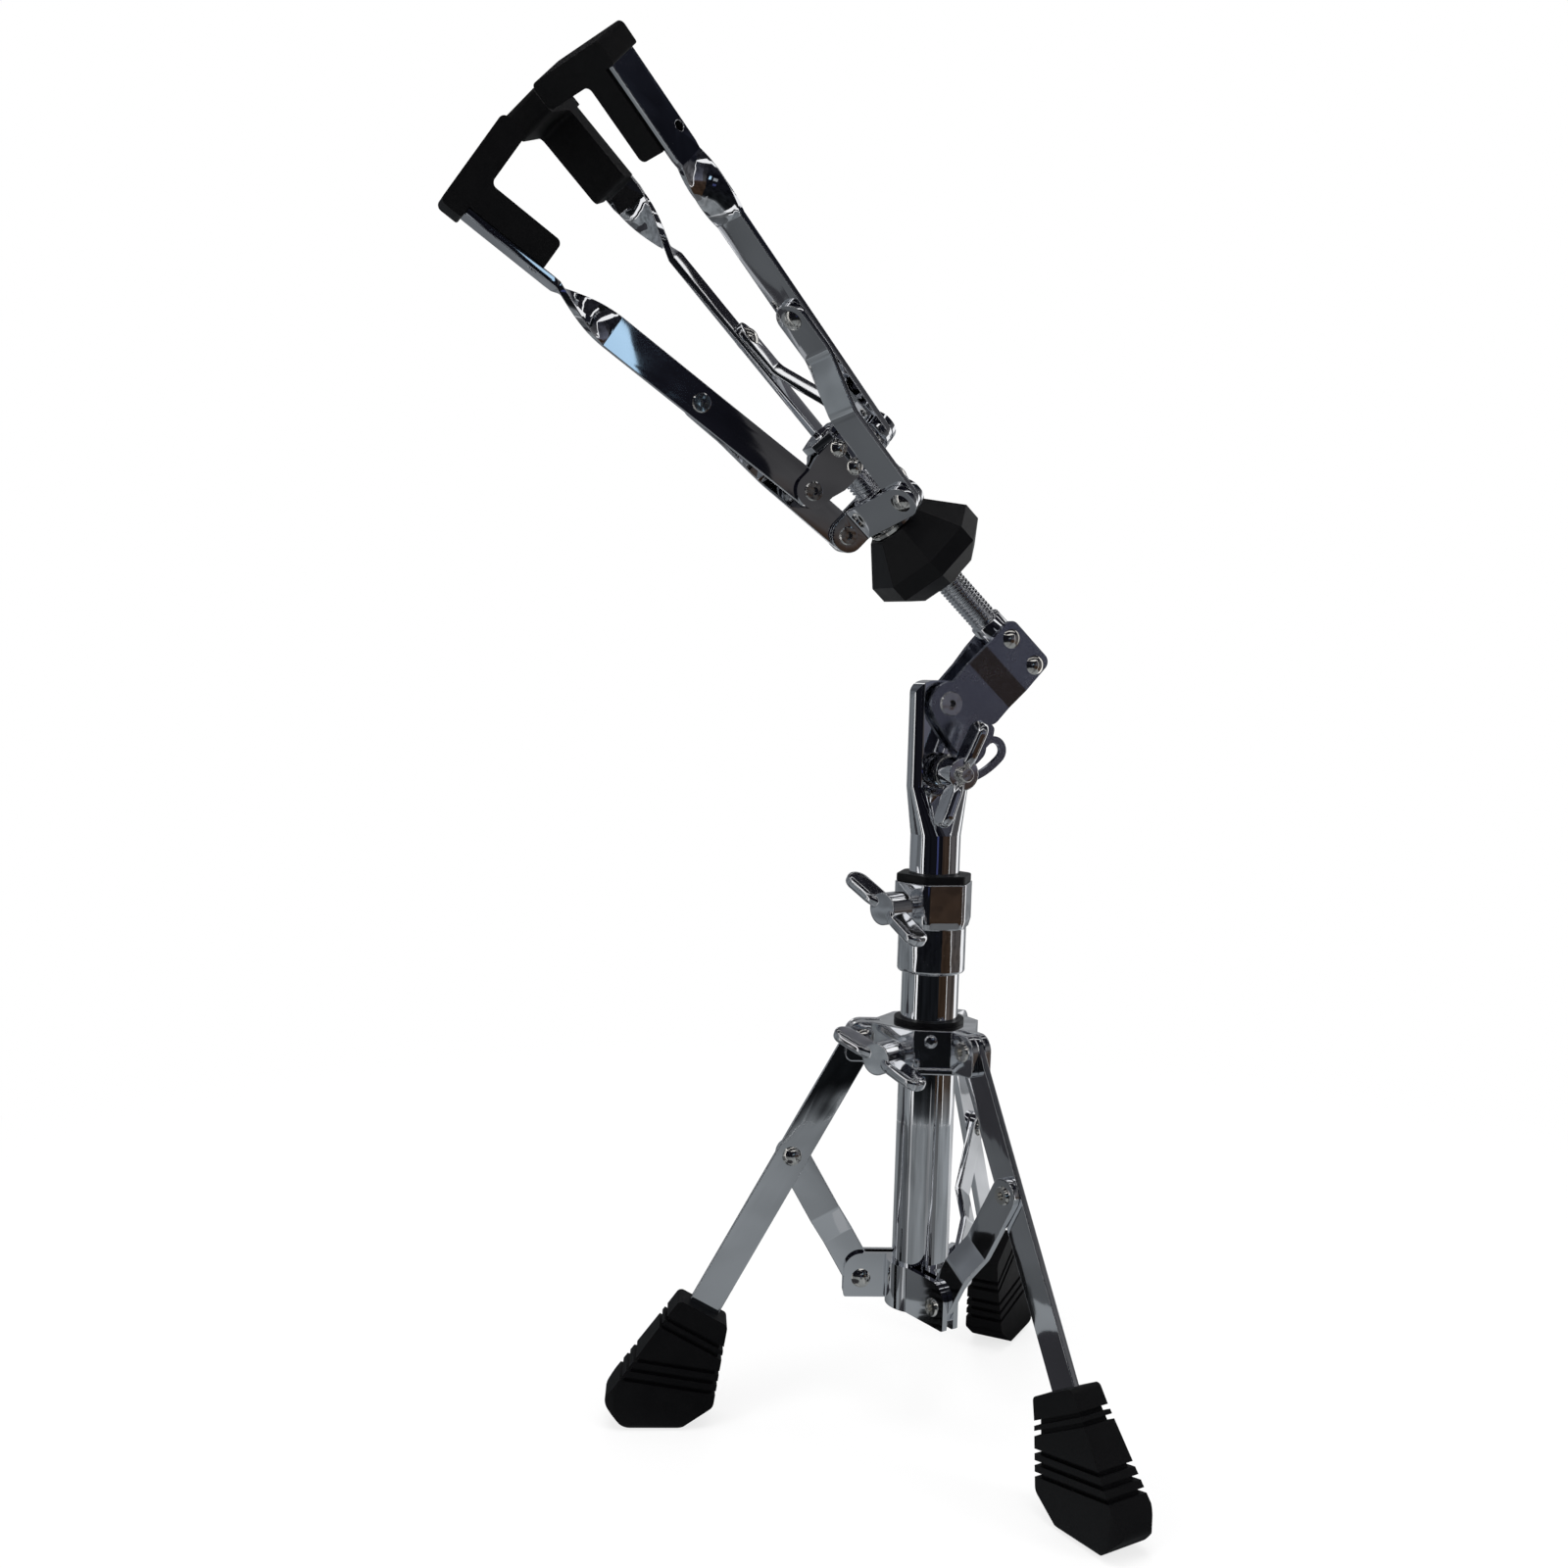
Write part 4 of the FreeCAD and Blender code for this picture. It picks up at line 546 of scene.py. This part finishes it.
for entry in frame["record"]["subparts"]:
    solid = nodes[entry["node"]]
    solid.data.materials.clear()
    solid.data.materials.append(by_slot[entry["material_slot"]])
print("dressed", len(nodes), "solids")

# %% [markdown]
# ## Eased edges
# Cut strip, castings and moulded rubber all have slightly round edges, and on chrome such an
# edge shows as a thin bright line. The solids have sharp ones. A bevel that only takes edges
# over a certain angle rounds them without touching the round surfaces, whose facets meet at
# small angles. The points that the import left double are joined first, and the bevel may not
# slide along neighbouring edges, because it would fold the import's thin triangles over. The
# normals are weighted by area last, so that flat faces stay flat.

# %% Bevel the solids
JOIN_REACH = 0.000002
FLAT_WEIGHT = 80


def trio(*kinds):
    """The names of the three pieces of each kind."""
    return ["%s_%d" % (kind, i) for kind in kinds for i in (1, 2, 3)]


pressed = trio("leg", "brace", "arm", "link", "collar_plate")
pressed += ["tilt_plate_front", "tilt_plate_back", "quadrant_front", "quadrant_back", "upper_plates",
            "runner_plates", "rod_nut", "tilt_bolt"]
cast = ["leg_hub", "height_clamp", "upper_block", "runner_sleeve", "height_bush", "hub_bush"]
# solids, width of the bevel, rows of faces, least angle in degrees
EASED = [(pressed, 0.00035, 2, 32), (cast, 0.0006, 2, 32), (trio("foot", "grip"), 0.0007, 2, 28),
         (["knob"], 0.0016, 3, 20)]
for names, width, rows, limit in EASED:
    for name in names:
        solid = nodes[name]
        solid.modifiers.new("join", "WELD").merge_threshold = JOIN_REACH
        bevel = solid.modifiers.new("ease", "BEVEL")
        bevel.width = width
        bevel.segments = rows
        bevel.loop_slide = False
        bevel.limit_method = "ANGLE"
        bevel.angle_limit = math.radians(limit)
        solid.modifiers.new("flats", "WEIGHTED_NORMAL").weight = FLAT_WEIGHT
print("eased", sum(1 for solid in nodes.values() if solid.modifiers), "solids")

# %% [markdown]
# ## The threaded rod
# The knob runs on a coarse thread that shows between it and the tilter. A thread could be a
# picture in the bump, but its edge is plain to see against the white, so it is made as a mesh:
# rings of points, each pushed in or out by how far it is along the helix. A right-hand thread
# climbs as it turns anticlockwise.

# %% A mesh from rings
COLUMNS = 40


def ring_mesh(name, place, heights, rings, material):
    """A closed mesh along its own Z from rings of radii, one radius for each column."""
    points = []
    for height, ring in zip(heights, rings):
        for j, radius in enumerate(ring):
            a = 2 * math.pi * j / COLUMNS
            points.append((radius * math.cos(a), radius * math.sin(a), height))
    faces = [tuple(range(COLUMNS - 1, -1, -1))]
    for i in range(len(rings) - 1):
        low, high = i * COLUMNS, (i + 1) * COLUMNS
        for j in range(COLUMNS):
            k = (j + 1) % COLUMNS
            faces.append((low + j, low + k, high + k, high + j))
    top = (len(rings) - 1) * COLUMNS
    faces.append(tuple(range(top, top + COLUMNS)))
    mesh = bpy.data.meshes.new(name)
    mesh.from_pydata(points, [], faces)
    mesh.polygons.foreach_set("use_smooth", [len(face) == 4 for face in faces])
    mesh.materials.append(material)
    mesh.transform(place)
    made = bpy.data.objects.new(name, mesh)
    bpy.context.scene.collection.objects.link(made)
    print(name, len(points), "points")
    return made


# %% A bar with a thread
ROWS_PER_PITCH = 8
CREST_END, ROOT_START, ROOT_END = 0.18, 0.5, 0.68
FLANK = 0.32


def thread_height(share):
    """How high the thread stands at this share of one pitch: crest, flank, root, flank."""
    if share < CREST_END:
        return 1.0
    if share < ROOT_START:
        return (ROOT_START - share) / FLANK
    if share < ROOT_END:
        return 0.0
    return (share - ROOT_END) / FLANK


def threaded_bar(name, place, plain_rings, low, high, crest, depth, pitch, chamfer, material):
    """A bar along its own Z: plain rings (height, radius) first, then a thread from low to high."""
    rings = [[radius] * COLUMNS for _, radius in plain_rings]
    heights = [height for height, _ in plain_rings]
    count = round((high - low) / pitch * ROWS_PER_PITCH)
    for i in range(count + 1):
        height = low + (high - low) * i / count
        cap = crest - max(0.0, chamfer - (high - height), chamfer - (height - low))
        ring = []
        for j in range(COLUMNS):
            share = (height / pitch - j / COLUMNS) % 1.0
            ring.append(min(cap, crest - depth * (1 - thread_height(share))))
        rings.append(ring)
        heights.append(height)
    return ring_mesh(name, place, heights, rings, material)


# %% The rod itself
PIVOT_HEIGHT = 0.3251
LEAN = math.radians(47.7)
ROD_OFFSET = 0.0409
ROD_LOW, ROD_SHOULDER, ROD_HIGH = -0.0226, 0.0100, 0.1214
FOOT_RADIUS, THREAD_RADIUS = 0.0073, 0.00635
THREAD_PITCH = 0.00175
THREAD_DEPTH = 0.0010
EDGE = 0.0006
head = Matrix.Translation((0, 0, PIVOT_HEIGHT)) @ Matrix.Rotation(-LEAN, 4, "Y")
rod_place = head @ Matrix.Translation((ROD_OFFSET, 0, 0))
foot_rings = [(ROD_LOW, FOOT_RADIUS - EDGE), (ROD_LOW + EDGE, FOOT_RADIUS),
              (ROD_SHOULDER - EDGE, FOOT_RADIUS), (ROD_SHOULDER, FOOT_RADIUS - EDGE)]
rod = threaded_bar("threaded_rod", rod_place, foot_rings, ROD_SHOULDER, ROD_HIGH, THREAD_RADIUS,
                   THREAD_DEPTH, THREAD_PITCH, 2 * EDGE, chrome)
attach(rod, "head")
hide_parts("basket_rod")

# %% [markdown]
# ## Bolt threads
# The wing bolts and the clamp bolt of the tilter show a few turns of a finer thread. Each is a
# short sleeve of the same kind over the bolt's plain shank, so the bolts keep their own shape.

# %% Thread sleeves on the wing bolts
BOLT_PITCH = 0.00125
BOLT_DEPTH = 0.0004
BOLT_RADIUS = 0.0042
outward = Matrix.Rotation(math.radians(90), 4, "Y")
# name, body, slot, finish, height of the bolt, its azimuth, from and to along the bolt, radius
SLEEVES = [("hub_bolt_thread", "hub_screw", "chrome_casting", casting,
            0.1728, 208.2, 0.0219, 0.0268, BOLT_RADIUS),
           ("height_bolt_thread", "height_screw", "chrome_casting", casting,
            0.2366, 202.0, 0.0163, 0.0212, BOLT_RADIUS)]
for name, body, slot_name, paint, height, azimuth, low, high, crest in SLEEVES:
    place = Matrix.Translation((0, 0, height)) @ Matrix.Rotation(math.radians(azimuth), 4, "Z") @ outward
    sleeve = threaded_bar(name, place, [], low, high, crest, BOLT_DEPTH, BOLT_PITCH, 0, paint)
    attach(sleeve, body)

# %% Thread sleeve on the tilter's bolt
TILT_ARC = 0.0296
TILT_LOW, TILT_HIGH, TILT_RADIUS = 0.0244, 0.0278, 0.0033
forward = Matrix.Rotation(math.radians(90), 4, "X")
tilt_place = Matrix.Translation((0, 0, PIVOT_HEIGHT - TILT_ARC)) @ forward
sleeve = threaded_bar("tilt_bolt_thread", tilt_place, [], TILT_LOW, TILT_HIGH, TILT_RADIUS,
                      BOLT_DEPTH, BOLT_PITCH, EDGE, riveting)
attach(sleeve, "mast")

# %% [markdown]
# ## A mark on the hub
# The front panel of the cast hub has a low round button, such as the place where the metal
# came into the mould and was trimmed. It is turned like a lathe part from a short profile,
# and its foot is sunk a little into the panel so that no gap shows.

# %% The trimmed button
PANEL_AZIMUTH = math.radians(247.2)
PANEL_DISTANCE = 0.0215
BUTTON_HEIGHT = 0.1791
BUTTON_SIDE = -0.0005
# each ring's height over the panel and its radius
button_profile = [(-0.0004, 0.0029), (0.0004, 0.0029), (0.0008, 0.0026), (0.0011, 0.0020), (0.0012, 0.0011)]
panel = Matrix.Translation((0, 0, BUTTON_HEIGHT)) @ Matrix.Rotation(PANEL_AZIMUTH, 4, "Z")
button_place = panel @ Matrix.Translation((PANEL_DISTANCE, BUTTON_SIDE, 0)) @ outward
button = ring_mesh("hub_button", button_place, [height for height, _ in button_profile],
                   [[radius] * COLUMNS for _, radius in button_profile], casting)
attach(button, "hub")

# %% [markdown]
# ## The finished model's box
# The box of the finished model, with the studio left out, is printed at the end.

# %% Sizes and finish
low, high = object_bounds()
print("box", [round(v, 4) for v in high - low])
